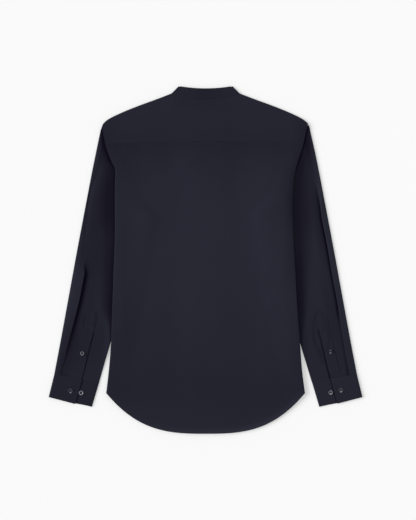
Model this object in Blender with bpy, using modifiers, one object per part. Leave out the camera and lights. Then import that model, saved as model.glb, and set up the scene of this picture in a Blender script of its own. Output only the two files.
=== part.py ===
"""A mandarin collar shirt, buttoned and laid flat on its front, with its back up.

Every piece is a closed wall of cloth. The body lies as two panels whose sides are tucked in like
a gusset, and each sleeve comes out between the two tucks. From the floor up, the layers at a side
are: front panel, front tuck, sleeve underside, sleeve top, back tuck, back panel.
Sizes are in millimetres; x runs to the wearer's right, y to the collar, z up from the floor.
"""

import math
from collections import namedtuple

import bmesh
import bpy
from mathutils import Vector

MM = 0.001
NAME = "mandarin_collar_shirt"

CLOTH = 1.0  # wall of one layer of cloth
LAYER = 1.6  # one layer and the air above it
SEAM = 0.3  # gap between two pieces at a seam
ROLL = 0.8  # radius of a folded edge, to the middle of the cloth

HEM_CENTRE, HEM_SIDE, HEM_HALF = -398.7, -304.8, 228.2
YOKE_SEAM, YOKE_SEAM_DIP = 271.5, 4.5
NECK_HALF, NECK_SIDE, NECK_BACK, NECK_FRONT = 78.5, 382.5, 369.6, 302.0
COLLAR_TOP_HALF, COLLAR_TOP_SIDE, COLLAR_TOP_CENTRE = 61.5, 399.3, 394.0
FRONT_YOKE_SIDE = 272.0  # height where the front yoke seam meets the armhole
PIT, PIT_DEPTH = 108.0, 73.0  # height of the underarm point, and how deep its tuck is
FOLD_TOP = 210.0  # height where the armhole seam runs under the body
PLACKET = 35.0

# The edge of the body seen from above: the armhole seam down to FOLD_TOP, then a fold.
Edge = namedtuple("Edge", "y left right")
BODY_EDGE = (
    Edge(320.0, 242.0, 237.0),
    Edge(302.0, 238.6, 232.0),
    Edge(261.3, 229.3, 223.0),
    Edge(229.0, 217.6, 213.0),
    Edge(210.0, 208.6, 207.5),
    Edge(180.0, 208.0, 203.0),
    Edge(138.0, 208.0, 200.3),
    Edge(57.0, 208.0, 201.2),
    Edge(-28.0, 211.0, 205.8),
    Edge(-115.0, 214.2, 210.6),
    Edge(-195.0, 217.4, 217.0),
    Edge(-254.0, 222.2, 221.6),
    Edge(-305.0, 228.2, 228.2),
)

# The shoulder line, a fold from the collar to the sleeve.
Shoulder = namedtuple("Shoulder", "x y")
SHOULDER = (
    Shoulder(78.5, 382.5),
    Shoulder(113.0, 369.2),
    Shoulder(150.9, 355.4),
    Shoulder(185.6, 341.6),
    Shoulder(206.0, 332.4),
    Shoulder(220.5, 325.0),
    Shoulder(230.5, 317.9),
    Shoulder(236.0, 311.5),
    Shoulder(239.0, 304.0),
)
SHOULDER_END = {"left": (238.6, 304.8), "right": (236.2, 311.6)}

# Both edges of a sleeve, from armhole to cuff. The inner one is hidden down to y = -190.
Line = namedtuple("Line", "y x")
SLEEVE_OUTER = (
    Line(300.2, 240.6),
    Line(251.9, 250.6),
    Line(205.9, 260.0),
    Line(136.9, 273.2),
    Line(21.9, 294.9),
    Line(-93.2, 315.9),
    Line(-208.2, 337.2),
    Line(-261.0, 347.4),
)
Inner = namedtuple("Inner", "y left right")
SLEEVE_INNER = (
    Inner(112.4, 144.0, 144.0),
    Inner(30.0, 167.0, 167.0),
    Inner(-60.0, 189.0, 189.0),
    Inner(-130.0, 203.6, 203.5),
    Inner(-190.0, 217.9, 217.2),
    Inner(-231.2, 230.2, 229.4),
    Inner(-278.3, 243.8, 243.2),
)
SIDE_SEAM = (Line(108.0, 135.0), Line(-190.0, 181.0), Line(-305.0, 203.0))

# The pleat of a sleeve: where its edge lies, and how far it is folded, from 0 to 1.
Pleat = namedtuple("Pleat", "y left right")
PLEAT = (
    Pleat(330.0, 228.0, 222.0),
    Pleat(150.0, 265.0, 258.0),
    Pleat(92.0, 270.5, 268.0),
    Pleat(30.0, 273.5, 280.4),
    Pleat(-18.0, 276.0, 288.4),
    Pleat(-60.0, 283.4, 296.2),
    Pleat(-95.0, 290.5, 302.7),
    Pleat(-138.0, 301.2, 309.0),
    Pleat(-262.0, 333.4, 330.6),
)
Folded = namedtuple("Folded", "y share")
FOLDED = {
    "left": (
        Folded(330.0, 0.0),
        Folded(115.0, 0.0),
        Folded(5.0, 0.0),
        Folded(-16.0, 0.15),
        Folded(-34.0, 0.7),
        Folded(-56.0, 1.0),
        Folded(-262.0, 1.0),
    ),
    "right": (
        Folded(330.0, 0.0),
        Folded(170.0, 0.0),
        Folded(115.0, 0.45),
        Folded(60.0, 0.8),
        Folded(20.0, 1.0),
        Folded(-20.0, 1.0),
        Folded(-262.0, 1.0),
    ),
}
PLEAT_OVERLAP = 8.0

# The edge of each sleeve opening, under the gauntlet's inner side.
Slit = namedtuple("Slit", "y left right")
SLIT = (
    Slit(-118.0, 246.5, 250.0),
    Slit(-158.0, 255.8, 259.7),
    Slit(-207.0, 269.0, 271.2),
    Slit(-261.0, 281.2, 284.2),
)
GAUNTLET_WIDTH, GAUNTLET_TOP, GAUNTLET_POINT = 24.5, -127.0, -118.0

# The cuff's corners; its seam is at the top.
CUFF_TOP_INNER, CUFF_TOP_OUTER = (243.7, -279.0), (347.6, -261.6)
CUFF_END_INNER, CUFF_END_OUTER = (262.0, -340.4), (360.6, -314.6)
CUFF_WALL, CUFF_LEVEL = 1.4, 1.7
CUFF_LAP_FROM = {"left": 0.381, "right": 0.413}  # where the upper end starts, across the cuff
CUFF_SHORTER = 0.95  # the lower end is this much of the height

NECK_ANGLES = (0.0, 8.0, 16.0, 23.5, 34.0, 46.0, 56.0, 66.0, 77.0, 90.0, 103.0)
NECK_CORNER = 3  # the angle where the front yoke seam meets the neckline
BAND_WALL = 1.3

# Rows of the body's panels: shares from the top seam to FOLD_TOP, heights, shares to the hem.
UPPER_ROWS = (0.0, 0.3, 0.65, 1.0)
LEVEL_ROWS = (170.0, 145.0, 125.0, 114.0, 108.0, 60.0, 0.0, -60.0, -130.0)
HEM_ROWS = (0.25, 0.5, 0.72, 0.9, 1.0)
TURN_STEPS = 4

Button = namedtuple("Button", "name x y size")
FRONT_BUTTONS, FRONT_BUTTON_TOP, FRONT_BUTTON_STEP = 7, 250.0, 88.0
COLLAR_BUTTON_Y = 314.5
BUTTON_THICK = 2.0

SIGN = {"left": -1, "right": 1}
COTTON = (0.022, 0.022, 0.037)
BUTTON_BLUE = (0.03, 0.035, 0.06)


def smooth(t):
    t = min(max(t, 0.0), 1.0)
    return t * t * (3 - 2 * t)


def mix(a, b, t):
    return a + (b - a) * t


def read(rows, column, at):
    """A table's column at a value of its first column, on a smooth curve through its rows."""
    keys = [row[0] for row in rows]
    if keys[0] > keys[-1]:
        rows = rows[::-1]
        keys = keys[::-1]
    values = [getattr(row, column) for row in rows]
    last = len(keys) - 1
    slope = [(values[i + 1] - values[i]) / (keys[i + 1] - keys[i]) for i in range(last)]
    if at <= keys[0]:
        return values[0] + slope[0] * (at - keys[0])
    if at >= keys[-1]:
        return values[-1] + slope[-1] * (at - keys[-1])
    i = max(k for k in range(last) if keys[k] <= at)
    ease = [slope[0]] + [(slope[k - 1] + slope[k]) / 2 for k in range(1, last)] + [slope[-1]]
    step = keys[i + 1] - keys[i]
    t = (at - keys[i]) / step
    return (
        values[i] * (1 + 2 * t) * (1 - t) ** 2
        + values[i + 1] * t * t * (3 - 2 * t)
        + step * (ease[i] * t * (1 - t) ** 2 - ease[i + 1] * t * t * (1 - t))
    )


# --- outlines on the floor plan ------------------------------------------------------------


def edge(side, y):
    return read(BODY_EDGE, side, y)


def hem(x):
    return HEM_CENTRE + (HEM_SIDE - HEM_CENTRE) * (abs(x) / HEM_HALF) ** 3


def yoke_seam(x):
    return YOKE_SEAM - YOKE_SEAM_DIP * (x / 230) ** 2


def neck_seam(x):
    return NECK_BACK + (NECK_SIDE - NECK_BACK) * (abs(x) / NECK_HALF) ** 2.2


def neck_point(angle, outside):
    """A point of the front neckline, at an angle down from the shoulder."""
    turn = math.radians(angle)
    x = (NECK_HALF + outside) * math.cos(turn)
    return x, NECK_SIDE - (NECK_SIDE - NECK_FRONT + outside) * math.sin(turn)


def front_yoke_seam(side, x):
    neck_x, neck_y = neck_point(NECK_ANGLES[NECK_CORNER], 0)
    side_x = edge(side, FRONT_YOKE_SIDE)
    return mix(neck_y, FRONT_YOKE_SIDE, (abs(x) - neck_x) / (side_x - neck_x))


def tuck_end(side, y):
    """Where a tuck ends, inside the body: at the side seam, or above it at the armhole."""
    if y <= PIT:
        return read(SIDE_SEAM, "x", y) + (edge(side, y) - edge("left", y))
    rise = min((FOLD_TOP - y) / (FOLD_TOP - PIT), 1.0)
    return edge(side, y) - PIT_DEPTH * (1 - math.sqrt(max(1 - max(rise, 0) ** 2, 0)))


def sleeve_inner(side, y):
    """Where a sleeve begins, inside the body."""
    if y <= 112.4:
        return read(SLEEVE_INNER, side, y)
    if y <= FOLD_TOP + 3:
        return tuck_end(side, y - 3) - 4
    return edge(side, y) - 4


# --- heights: each layer lies on those under it, and slides off their edges --------------------


def on_body(side, x, y):
    return 1 - smooth((abs(x) - edge(side, y)) / 18)


def on_tuck(side, x, y):
    inward = 1 - smooth((tuck_end(side, y) - abs(x)) / 70)
    return inward * (1 - smooth((y - FOLD_TOP) / 45))


def sleeve_under(side, x, y):
    """Height of the middle of a sleeve's lower wall."""
    return CLOTH / 2 + LAYER * on_body(side, x, y) * (1 + on_tuck(side, x, y))


def sleeve_top(side, x, y):
    """The same of its upper wall, which stands a little off the lower one between its edges."""
    inner = max(edge(side, y), read(SLEEVE_INNER, side, y))
    from_inner = smooth((abs(x) - inner - 4) / 45)
    from_outer = smooth((read(SLEEVE_OUTER, "x", y) - abs(x)) / 50)
    return sleeve_under(side, x, y) + LAYER + 1.0 * from_inner * from_outer


def back_tuck(side, x, y):
    start = sleeve_inner(side, y) - 2
    reach = max(start - tuck_end(side, y), 6)
    sleeve = 1 - smooth((start - abs(x)) / reach) * smooth((PIT - y) / 40)
    return CLOTH / 2 + LAYER * (2 + 2 * sleeve)


def front_tuck(side, x, y):
    return CLOTH / 2 + LAYER


def back_height(side, x, y):
    """The back panel and yoke: over the sleeves and tucks at the sides, over the placket inside."""
    sleeves = 1 - smooth((sleeve_inner(side, y) - 2 - abs(x)) / 70)
    lift = 2 * LAYER * (on_tuck(side, x, y) + sleeves)
    near_neck = smooth((y - 340) / 30)
    rest = 2.5 + 1.5 * (1 - smooth((abs(x) - 22) / 58)) * (1 - near_neck)
    highest = (lift + rest + math.sqrt((lift - rest) ** 2 + 1)) / 2
    return CLOTH / 2 + LAYER + highest


def placket_lift(x, lift):
    return lift * (1 - smooth((abs(x) - 19) / 38))


def left_front_height(side, x, y):
    return CLOTH / 2 + placket_lift(x, 2.3)


def right_front_height(side, x, y):
    return CLOTH / 2 + placket_lift(x, 3.6)


# --- building a piece ----------------------------------------------------------------------


def material(name, colour, roughness):
    made = bpy.data.materials.new(name)
    made.use_nodes = True
    shader = made.node_tree.nodes["Principled BSDF"]
    shader.inputs["Base Color"].default_value = (*colour, 1)
    shader.inputs["Roughness"].default_value = roughness
    shader.inputs["Metallic"].default_value = 0
    return made


def add_piece(name, mesh, colour=COTTON, roughness=0.9):
    piece = bpy.data.objects.new(name, mesh)
    mesh.materials.append(material(name + "_cloth", colour, roughness))
    bpy.data.collections[NAME].objects.link(piece)
    return piece


def cloth(name, rows, wall=CLOTH, ring=False, fan=True):
    """A wall of cloth on rows of points. A row is (its first column's number, its points).

    With fan, a column that one row lacks is gathered into that row's last point.
    """
    form = bmesh.new()
    made = [
        {start + i: form.verts.new(point * MM) for i, point in enumerate(points)}
        for start, points in rows
    ]
    for upper, lower in zip(made, made[1:]):
        first = min(min(upper), min(lower)) if fan else max(min(upper), min(lower))
        last = max(max(upper), max(lower)) if fan else min(max(upper), max(lower))
        columns = [(i, i + 1) for i in range(first, last)]
        if ring:
            columns.append((last, first))
        for i, j in columns:
            corners = []
            for row, column in ((upper, i), (lower, i), (lower, j), (upper, j)):
                vert = row[min(max(column, min(row)), max(row))]
                if vert not in corners:
                    corners.append(vert)
            if len(corners) > 2:
                form.faces.new(corners)
    bmesh.ops.recalc_face_normals(form, faces=form.faces)
    mesh = bpy.data.meshes.new(name)
    form.to_mesh(mesh)
    form.free()
    mesh.shade_smooth()
    piece = add_piece(name, mesh)
    solid = piece.modifiers.new("wall", "SOLIDIFY")
    solid.thickness = wall * MM
    solid.offset = 0
    solid.use_even_offset = True
    return piece


def turn(centre, outward, low, high, radius):
    """The inner points of a folded edge, from its upper layer at high to its lower one at low."""
    points = []
    for k in range(1, TURN_STEPS):
        angle = math.pi * k / TURN_STEPS
        x = centre[0] + outward[0] * radius * math.sin(angle)
        y = centre[1] + outward[1] * radius * math.sin(angle)
        points.append(Vector((x, y, (low + high) / 2 + (high - low) / 2 * math.cos(angle))))
    return points


# --- the body's panels ---------------------------------------------------------------------


def row_edge(side, row, top):
    """Where a row of a panel meets the body's edge."""
    kind, value = row
    if kind == "upper":
        y = mix(top, FOLD_TOP, value)
    elif kind == "level":
        y = value
    else:
        y = LEVEL_ROWS[-1]
        for _ in range(8):
            y = mix(LEVEL_ROWS[-1], hem(edge(side, y)), value)
    return edge(side, y), y


def row_y(row, x, top):
    kind, value = row
    if kind == "upper":
        return mix(top, FOLD_TOP, value)
    return value if kind == "level" else mix(LEVEL_ROWS[-1], hem(x), value)


def half_row(side, row, inner, outer_shares, top_line, top_side, heights):
    """Points of half a panel from its middle to its edge, and round the fold to the tuck's end."""
    sign = SIGN[side]
    main, tuck = heights
    x_edge, y_edge = row_edge(side, row, top_side)
    folded = row[0] != "upper"
    last = x_edge - ROLL - CLOTH / 2 if folded else x_edge - (row[1] == 1) * CLOTH / 2
    top_last = edge(side, top_side)
    places = [(x, x) for x in inner[:-1]]
    places += [(mix(inner[-1], last, s), mix(inner[-1], top_last, s)) for s in outer_shares]
    points = []
    for x, x_top in places:
        y = row_y(row, x, top_line(x_top))
        points.append(Vector((sign * x, y, main(side, x, y))))
    high, low = points[-1].z, tuck(side, last, y_edge)
    if not folded:
        # the tuck's top corner starts here, so it stands a little off the floor
        points[-1].z += 0.25 * (row[1] == 1) * (low > high)
        return points
    points += turn((sign * last, points[-1].y), (sign, 0), low, high, ROLL)
    end = tuck_end(side, y_edge)
    width = last - end
    knee = min(max(sleeve_inner(side, y_edge) - 2, end + 0.3 * width), last - 0.3 * width)
    for x in (last, mix(last, knee, 0.5), knee, mix(knee, end, 0.5), end):
        y = row_y(row, 2 * x_edge - x, 0)
        points.append(Vector((sign * x, y, tuck(side, x, y))))
    # the two ends of the tucks draw together at the side seam
    points[-1].z += (LAYER - CLOTH - SEAM) / 2 * (1 if low > high else -1)
    return points


def panel_rows():
    rows = [("upper", share) for share in UPPER_ROWS]
    rows += [("level", y) for y in LEVEL_ROWS]
    return rows + [("hem", share) for share in HEM_ROWS]


OUTER_SHARES = (0.0, 0.3, 0.55, 0.75, 0.9, 1.0)


def back_panel():
    inner = (0.0, 24.0, 50.0, 80.0, 110.0)
    top_side = yoke_seam(edge("left", YOKE_SEAM)) - SEAM / 2
    rows = []
    for row in panel_rows():
        halves = [
            half_row(
                side, row, inner, OUTER_SHARES, lambda x: yoke_seam(x) - SEAM / 2, top_side,
                (back_height, back_tuck),
            )
            for side in ("left", "right")
        ]
        rows.append((1 - len(halves[0]), halves[0][:0:-1] + halves[1]))
    cloth("back_panel", rows)


def front_columns(side):
    """Distances from the middle at which the neckline has its points, and the top line there."""
    xs = [neck_point(angle, SEAM / 2)[0] for angle in NECK_ANGLES[NECK_CORNER:]]

    def top_line(x):
        if abs(x) <= xs[0] + 0.01:
            across = min(abs(x) / (NECK_HALF + SEAM / 2), 1)
            drop = NECK_SIDE - NECK_FRONT + SEAM / 2
            return NECK_SIDE - drop * math.sqrt(1 - across**2)
        return front_yoke_seam(side, x) - SEAM / 2

    return xs, top_line


def fronts():
    for side, height in (("left", left_front_height), ("right", right_front_height)):
        xs, top_line = front_columns(side)
        # the left front ends at its placket; the right one runs on under it
        inner = [PLACKET / 2 + SEAM / 2] + xs[:5][::-1]
        if side == "right":
            inner = [-x for x in inner[:1]] + [0.0] + inner
        rows = [
            (0, half_row(side, row, inner, OUTER_SHARES, top_line, FRONT_YOKE_SIDE,
                         (height, front_tuck)))
            for row in panel_rows()
        ]
        cloth(side + "_front", rows)


def front_placket():
    _, top_line = front_columns("left")
    half = PLACKET / 2 - SEAM / 2
    rows = []
    for row in panel_rows():
        points = []
        for x in (-half, 0.0, half):
            y = row_y(row, x, top_line(x))
            points.append(Vector((x, y, left_front_height("left", x, y))))
        rows.append((0, points))
    cloth("front_placket", rows)


def yoke():
    """Rows run from the back seam up and over the shoulder fold; columns run across."""
    back_shares = (0.0, 0.35, 0.7, 1.0)
    columns = []
    for x in (-60.0, -40.0, -20.0, 0.0, 20.0, 40.0, 60.0):
        low, high = yoke_seam(x) + SEAM / 2, neck_seam(x) - SEAM / 2
        side = "left" if x < 0 else "right"
        ys = [mix(low, high, share) for share in back_shares]
        columns.append((x, [Vector((x, y, back_height(side, x, y))) for y in ys]))
    for side in ("left", "right"):
        for share in (0.0, 0.12, 0.3, 0.5, 0.7, 0.86, 0.95, 1.0):
            columns.append(yoke_shoulder(side, share, back_shares))
    columns.sort(key=lambda column: column[0])
    cloth("yoke", [(0, points) for _, points in columns], fan=False)


def yoke_shoulder(side, share, back_shares):
    """One column of the yoke beside the neck: up the back, over the fold, down the front."""
    sign = SIGN[side]
    end_x, end_y = SHOULDER_END[side]
    top_x = mix(NECK_HALF, end_x, share)
    top_y = end_y if share == 1 else read(SHOULDER, "y", top_x)
    slope = (read(SHOULDER, "y", top_x + 1) - read(SHOULDER, "y", top_x - 1)) / 2
    outward = Vector((-slope, 1)).normalized()
    height = back_height(side, top_x, top_y)
    radius = (height - CLOTH / 2) / 2
    centre = Vector((top_x, top_y)) - outward * (radius + CLOTH / 2)
    seam_side = yoke_seam(edge(side, YOKE_SEAM))
    points = []
    for k in back_shares:
        x = mix(NECK_HALF, edge(side, mix(seam_side, end_y, k)), share)
        low = yoke_seam(x if k else mix(NECK_HALF, edge(side, seam_side), share)) + SEAM / 2
        y = mix(low, centre.y, k)
        x = centre.x if k == 1 else x
        points.append(Vector((sign * x, y, back_height(side, x, y))))
    points += turn(
        (sign * centre.x, centre.y), (sign * outward.x, outward.y), CLOTH / 2, points[-1].z, radius
    )
    neck = NECK_ANGLES[: NECK_CORNER + 1]
    for k in range(len(neck)):
        part = k / NECK_CORNER
        neck_x, neck_y = neck_point(neck[k], SEAM / 2)
        side_y = mix(centre.y, FRONT_YOKE_SIDE, part)
        x = mix(neck_x, edge(side, side_y), share)
        y = mix(centre.y, front_yoke_seam(side, x) + SEAM / 2, part) if share else neck_y
        x, y = (centre.x, centre.y) if k == 0 else (x, y)
        points.append(Vector((sign * x, y, CLOTH / 2)))
    return sign * top_x, points


# --- collar band ---------------------------------------------------------------------------


def collar_band():
    """One band round the neck: its back lies on top, its sides fold, its ends lap underneath."""
    rows = []
    for share in (0.0, 0.5, 1.0):
        back = []
        centre = {}
        for x in (-60.0, -40.0, -20.0, 0.0, 20.0, 40.0, 60.0):
            top_x = x * COLLAR_TOP_HALF / NECK_HALF
            top = COLLAR_TOP_CENTRE + (COLLAR_TOP_SIDE - COLLAR_TOP_CENTRE) * (x / NECK_HALF) ** 2
            y = mix(neck_seam(x) + SEAM / 2, top, share)
            back.append(Vector((mix(x, top_x, share), y, band_back_height(share))))
        outward = Vector((COLLAR_TOP_SIDE - NECK_SIDE, NECK_HALF - COLLAR_TOP_HALF)).normalized()
        for side in ("left", "right"):
            fold_x = mix(NECK_HALF - SEAM, COLLAR_TOP_HALF, share)
            fold_y = mix(NECK_SIDE + SEAM, COLLAR_TOP_SIDE, share)
            high, low = band_back_height(share), BAND_WALL / 2
            radius = (high - low) / 2
            middle = Vector((fold_x, fold_y)) - outward * (radius + BAND_WALL / 2)
            centre[side] = band_side(side, middle, outward, high, low, radius, share)
        rows.append((0, centre["left"][::-1] + back + centre["right"]))
    cloth("collar_band", rows, wall=BAND_WALL)


def band_back_height(share):
    return back_height("right", 60.0, NECK_BACK) - 1.0 * share


def band_side(side, middle, outward, high, low, radius, share):
    """From the fold beside the neck, down the front neckline, to the lapped end."""
    sign = SIGN[side]
    lift = 2.3 if side == "left" else 3.9
    points = [Vector((sign * middle.x, middle.y, high))]
    points += turn((sign * middle.x, middle.y), (sign * outward.x, outward.y), low, high, radius)
    points.append(Vector((sign * middle.x, middle.y, low)))
    width = COLLAR_TOP_CENTRE - NECK_BACK
    for angle in NECK_ANGLES[1:]:
        x, y = neck_point(angle, -SEAM / 2)
        lean = math.radians(180 - angle - 45 * max(1 - angle / 35, 0) ** 2)
        x += width * share * math.cos(lean)
        y += width * share * math.sin(lean)
        points.append(Vector((sign * x, y, low + placket_lift(x, lift))))
    return points


# --- sleeves -------------------------------------------------------------------------------

# Sections along a sleeve: how far down its inner and its outer edge each one starts and ends.
Section = namedtuple("Section", "along inner outer")
SECTIONS = tuple(
    Section(along, along**1.25, 1 - (1 - along) ** 1.35)
    for along in (0, 0.008, 0.016, 0.03, 0.055, 0.09, 0.14, 0.2, 0.27, 0.34, 0.42, 0.5, 0.58,
                  0.66, 0.75, 0.84, 0.92, 1)
)


def path_point(path, share):
    """The point at a share of the length of a path of (x, y) points."""
    steps = [math.dist(a, b) for a, b in zip(path, path[1:])]
    left = share * sum(steps)
    for (a, b), step in zip(zip(path, path[1:]), steps):
        if left <= step or b is path[-1]:
            return Vector(a).lerp(Vector(b), min(left / step, 1))
        left -= step


def cap_in(side, y):
    """How far the right sleeve's outer edge lies further in, near the shoulder."""
    share = min(max((y - 240) / 60, 0), 1)
    return 0.9 * share * share * (3 - 2 * share) if side == "right" else 0


def sleeve_plan(side):
    """A function (across, section) -> point of the sleeve on the floor plan, x outward."""
    end_x, end_y = SHOULDER_END[side]
    head = (end_x - 3.5, end_y - 2.4)
    outer_end = SLEEVE_OUTER[-1].y
    shoulder = [head, (240.0, 302.6)] if side == "left" else [
        head, (236.7, 311.0), (237.8, 309.0), (238.5, 307.0), (239.1, 303.6)]
    ys = [mix(SLEEVE_OUTER[0].y, outer_end, k / 24) for k in range(25)]
    outer = shoulder + [(read(SLEEVE_OUTER, "x", y) - cap_in(side, y), y) for y in ys]
    inner_top, inner_end = SLEEVE_INNER[0].y, SLEEVE_INNER[-1].y
    ys = [mix(inner_top, inner_end, k / 20) for k in range(21)]
    inner = [(read(SLEEVE_INNER, side, y), y) for y in ys]
    rim = [inner[0]]
    for angle in (70, 60, 48, 36, 24, 12, 0):
        x = PIT_DEPTH * (1 - math.cos(math.radians(angle)))
        y = FOLD_TOP - (FOLD_TOP - PIT) * math.sin(math.radians(angle))
        rim.append((edge(side, y) - x - 3, y + 3))
    rim += [(edge(side, y) - 3.5, y) for y in (235, 260, 282)] + [head]
    cuff = [inner[-1], outer[-1]]

    def at(across, section):
        along = section.along
        corners = (
            Vector(rim[0]) * (1 - across) * (1 - along) + Vector(rim[-1]) * across * (1 - along)
            + Vector(cuff[0]) * (1 - across) * along + Vector(cuff[1]) * across * along
        )
        return (
            path_point(rim, across) * (1 - along) + path_point(cuff, across) * along
            + path_point(inner, section.inner) * (1 - across)
            + path_point(outer, section.outer) * across - corners
        )

    return at


def crossing(at, section, outside):
    """The share across a section where outside(point) first holds."""
    for k in range(101):
        if outside(at(k / 100, section)):
            return k / 100
    return 1.0


def pleat_steps(folded):
    """(inward, down) points of a pleat from the strip on top to the sleeve under it."""
    most = math.pi * smooth(folded) ** 0.5 if folded < 1 else math.pi
    flat = PLEAT_OVERLAP * max(folded - 0.6, 0) / 0.4 + 0.4
    arc = math.pi * ROLL / TURN_STEPS
    steps = [(arc, most * (k + 0.5) / TURN_STEPS) for k in range(TURN_STEPS)]
    steps = steps + [(flat, most)] + steps[::-1]
    points = [Vector((0, 0))]
    for length, heading in steps:
        points.append(points[-1] + length * Vector((math.cos(heading), math.sin(heading))))
    return points


def sleeve_ring(side, at, section):
    """One closed section: under, round the outer edge, the strip, the pleat, the top."""
    width = (at(1, section) - at(0, section)).length
    along_in, along_out = (ROLL + CLOTH / 2) / width, (1.3 + CLOTH / 2) / width
    pleat = crossing(at, section, lambda p: p.x > read(PLEAT, side, p.y))
    pleat = mix(0.8, min(max(pleat, 0.6), 1 - 12 / width), smooth((section.along - 0.06) / 0.16))
    body = crossing(at, section, lambda p: p.x > edge(side, p.y))
    body = min(max(body, along_in + 8 / width), pleat - 46 / width, 0.5)
    across = [along_in, mix(along_in, body, 0.5), body]
    across += [body + away / width for away in (6, 12, 20, 30)]
    folded = min(max(read(FOLDED[side], "share", at(pleat, section).y), 0), 1)
    fold_way = Vector((-0.97, -0.22))
    steps = pleat_steps(folded)
    furthest = max(step.x for step in steps)
    start = at(pleat, section) - fold_way * furthest
    drop = steps[-1].y

    def point(p, z):
        return Vector((SIGN[side] * p.x, p.y, z))

    def under(p):
        return point(p, sleeve_under(side, p.x, p.y))

    def top(p):
        return point(p, sleeve_top(side, p.x, p.y))

    ring = [under(at(share, section)) for share in across]
    ring += [under(at(share, section)) for share in (mix(across[-1], pleat, 0.6), pleat - 0.01)]
    last = at(1 - along_out, section)
    ring.append(under(last))
    outward = (at(1, section) - at(0.9, section)).normalized()
    base = ring[-1].z
    brow = base + LAYER + 1.0 * (1 - on_body(side, last.x, last.y))
    way = (SIGN[side] * outward.x, outward.y)
    ring += turn((SIGN[side] * last.x, last.y), way, brow, base, (brow - base) / 2)
    ring.append(point(last, brow))
    end = start + fold_way * steps[-1].x
    level = sleeve_top(side, end.x, end.y)
    ring.append(point(last.lerp(start, 0.55), mix(brow, level + drop, 0.6)))
    ring += [point(start + fold_way * step.x, level + drop - step.y) for step in steps]
    ring.append(top(at(mix(across[-1], pleat, 0.55), section)))
    ring += [top(at(share, section)) for share in across[::-1]]
    centre = at(along_in, section)
    inward = (at(0, section) - at(0.1, section)).normalized()
    way = (SIGN[side] * inward.x, inward.y)
    place = (SIGN[side] * centre.x, centre.y)
    return ring + turn(place, way, ring[0].z, ring[-1].z, ROLL)


def sleeves():
    for side in ("left", "right"):
        at = sleeve_plan(side)
        rows = [(0, sleeve_ring(side, at, section)) for section in SECTIONS]
        cloth(side + "_sleeve", rows, ring=True)


# --- cuffs, gauntlets and buttons --------------------------------------------------------------


def cuff_point(across, down):
    top = Vector(CUFF_TOP_INNER).lerp(Vector(CUFF_TOP_OUTER), across)
    return top.lerp(Vector(CUFF_END_INNER).lerp(Vector(CUFF_END_OUTER), across), down)


def cuff_heights():
    """Middle of the lower wall, of the lower end, and of the upper end that laps over it."""
    return [CUFF_WALL / 2 + CUFF_LEVEL * level for level in range(3)]


def cuffs():
    under, lower, upper = cuff_heights()
    for side in ("left", "right"):
        sign = SIGN[side]
        lap = CUFF_LAP_FROM[side]
        rows = []
        for down in (0.0, 0.33, 0.67, 1.0):
            shorter = mix(1, CUFF_SHORTER, down)

            def point(across, z, share):
                p = cuff_point(across, share)
                return Vector((sign * p.x, p.y, z))

            inner, outer = 0.016, 0.974
            points = [
                point(across, lower, down * shorter)
                for across in (0.86, 0.66, 0.5, 0.33, 0.17, inner)
            ]
            p = cuff_point(inner, down * shorter)
            points += turn((sign * p.x, p.y), (-sign, -0.1), under, lower, (lower - under) / 2)
            for across in (inner, 0.17, 0.33, 0.5, 0.66, 0.82, outer):
                points.append(point(across, under, down * mix(shorter, 1, smooth(across * 1.5))))
            p = cuff_point(outer, down)
            points += turn((sign * p.x, p.y), (sign, 0.2), upper, under, (upper - under) / 2)
            for across in (outer, 0.82, 0.66, 0.5, lap):
                points.append(point(across, upper, down))
            rows.append((0, points))
        cloth(side + "_cuff", rows, wall=CUFF_WALL)


def gauntlets():
    """A strip on the sleeve beside its opening, with a shallow point at its top."""
    for side in ("left", "right"):
        rows = []
        for y in (-262.2, -235.0, -205.0, -175.0, -150.0, -133.0, GAUNTLET_TOP):
            inner = read(SLIT, side, y)
            points = []
            for share in (0.0, 0.25, 0.5, 0.75, 1.0):
                x = inner + GAUNTLET_WIDTH * share
                rise = (GAUNTLET_POINT - GAUNTLET_TOP) * (1 - abs(2 * share - 1)) ** 0.8
                lower = y + 0.17 * (x - 281) if y < -260 else y
                over = y + rise if y == GAUNTLET_TOP else lower
                z = sleeve_top(side, x, over) + CLOTH + SEAM + 0.1
                points.append(Vector((SIGN[side] * x, over, z)))
            rows.append((0, points))
        cloth(side + "_gauntlet", rows)


def button(name, place, size):
    """A turned button that stands on its place, with a raised rim round a shallow dish."""
    half = size / 2
    profile = (
        (0.0, 0.72), (0.6, 0.72), (0.72, 1.0), (0.9, 1.0), (1.0, 0.72), (1.0, 0.3), (0.8, 0.0),
        (0.0, 0.0),
    )
    form = bmesh.new()
    verts = [form.verts.new((x * half * MM, 0, z * BUTTON_THICK * MM)) for x, z in profile]
    for a, b in zip(verts, verts[1:]):
        form.edges.new((a, b))
    mesh = bpy.data.meshes.new(name)
    form.to_mesh(mesh)
    form.free()
    piece = add_piece(name, mesh, BUTTON_BLUE, 0.35)
    piece.location = [step * MM for step in place]
    turned = piece.modifiers.new("turned", "SCREW")
    turned.steps = turned.render_steps = 12
    turned.use_merge_vertices = True
    turned.merge_threshold = 0.00001
    return piece


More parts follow.
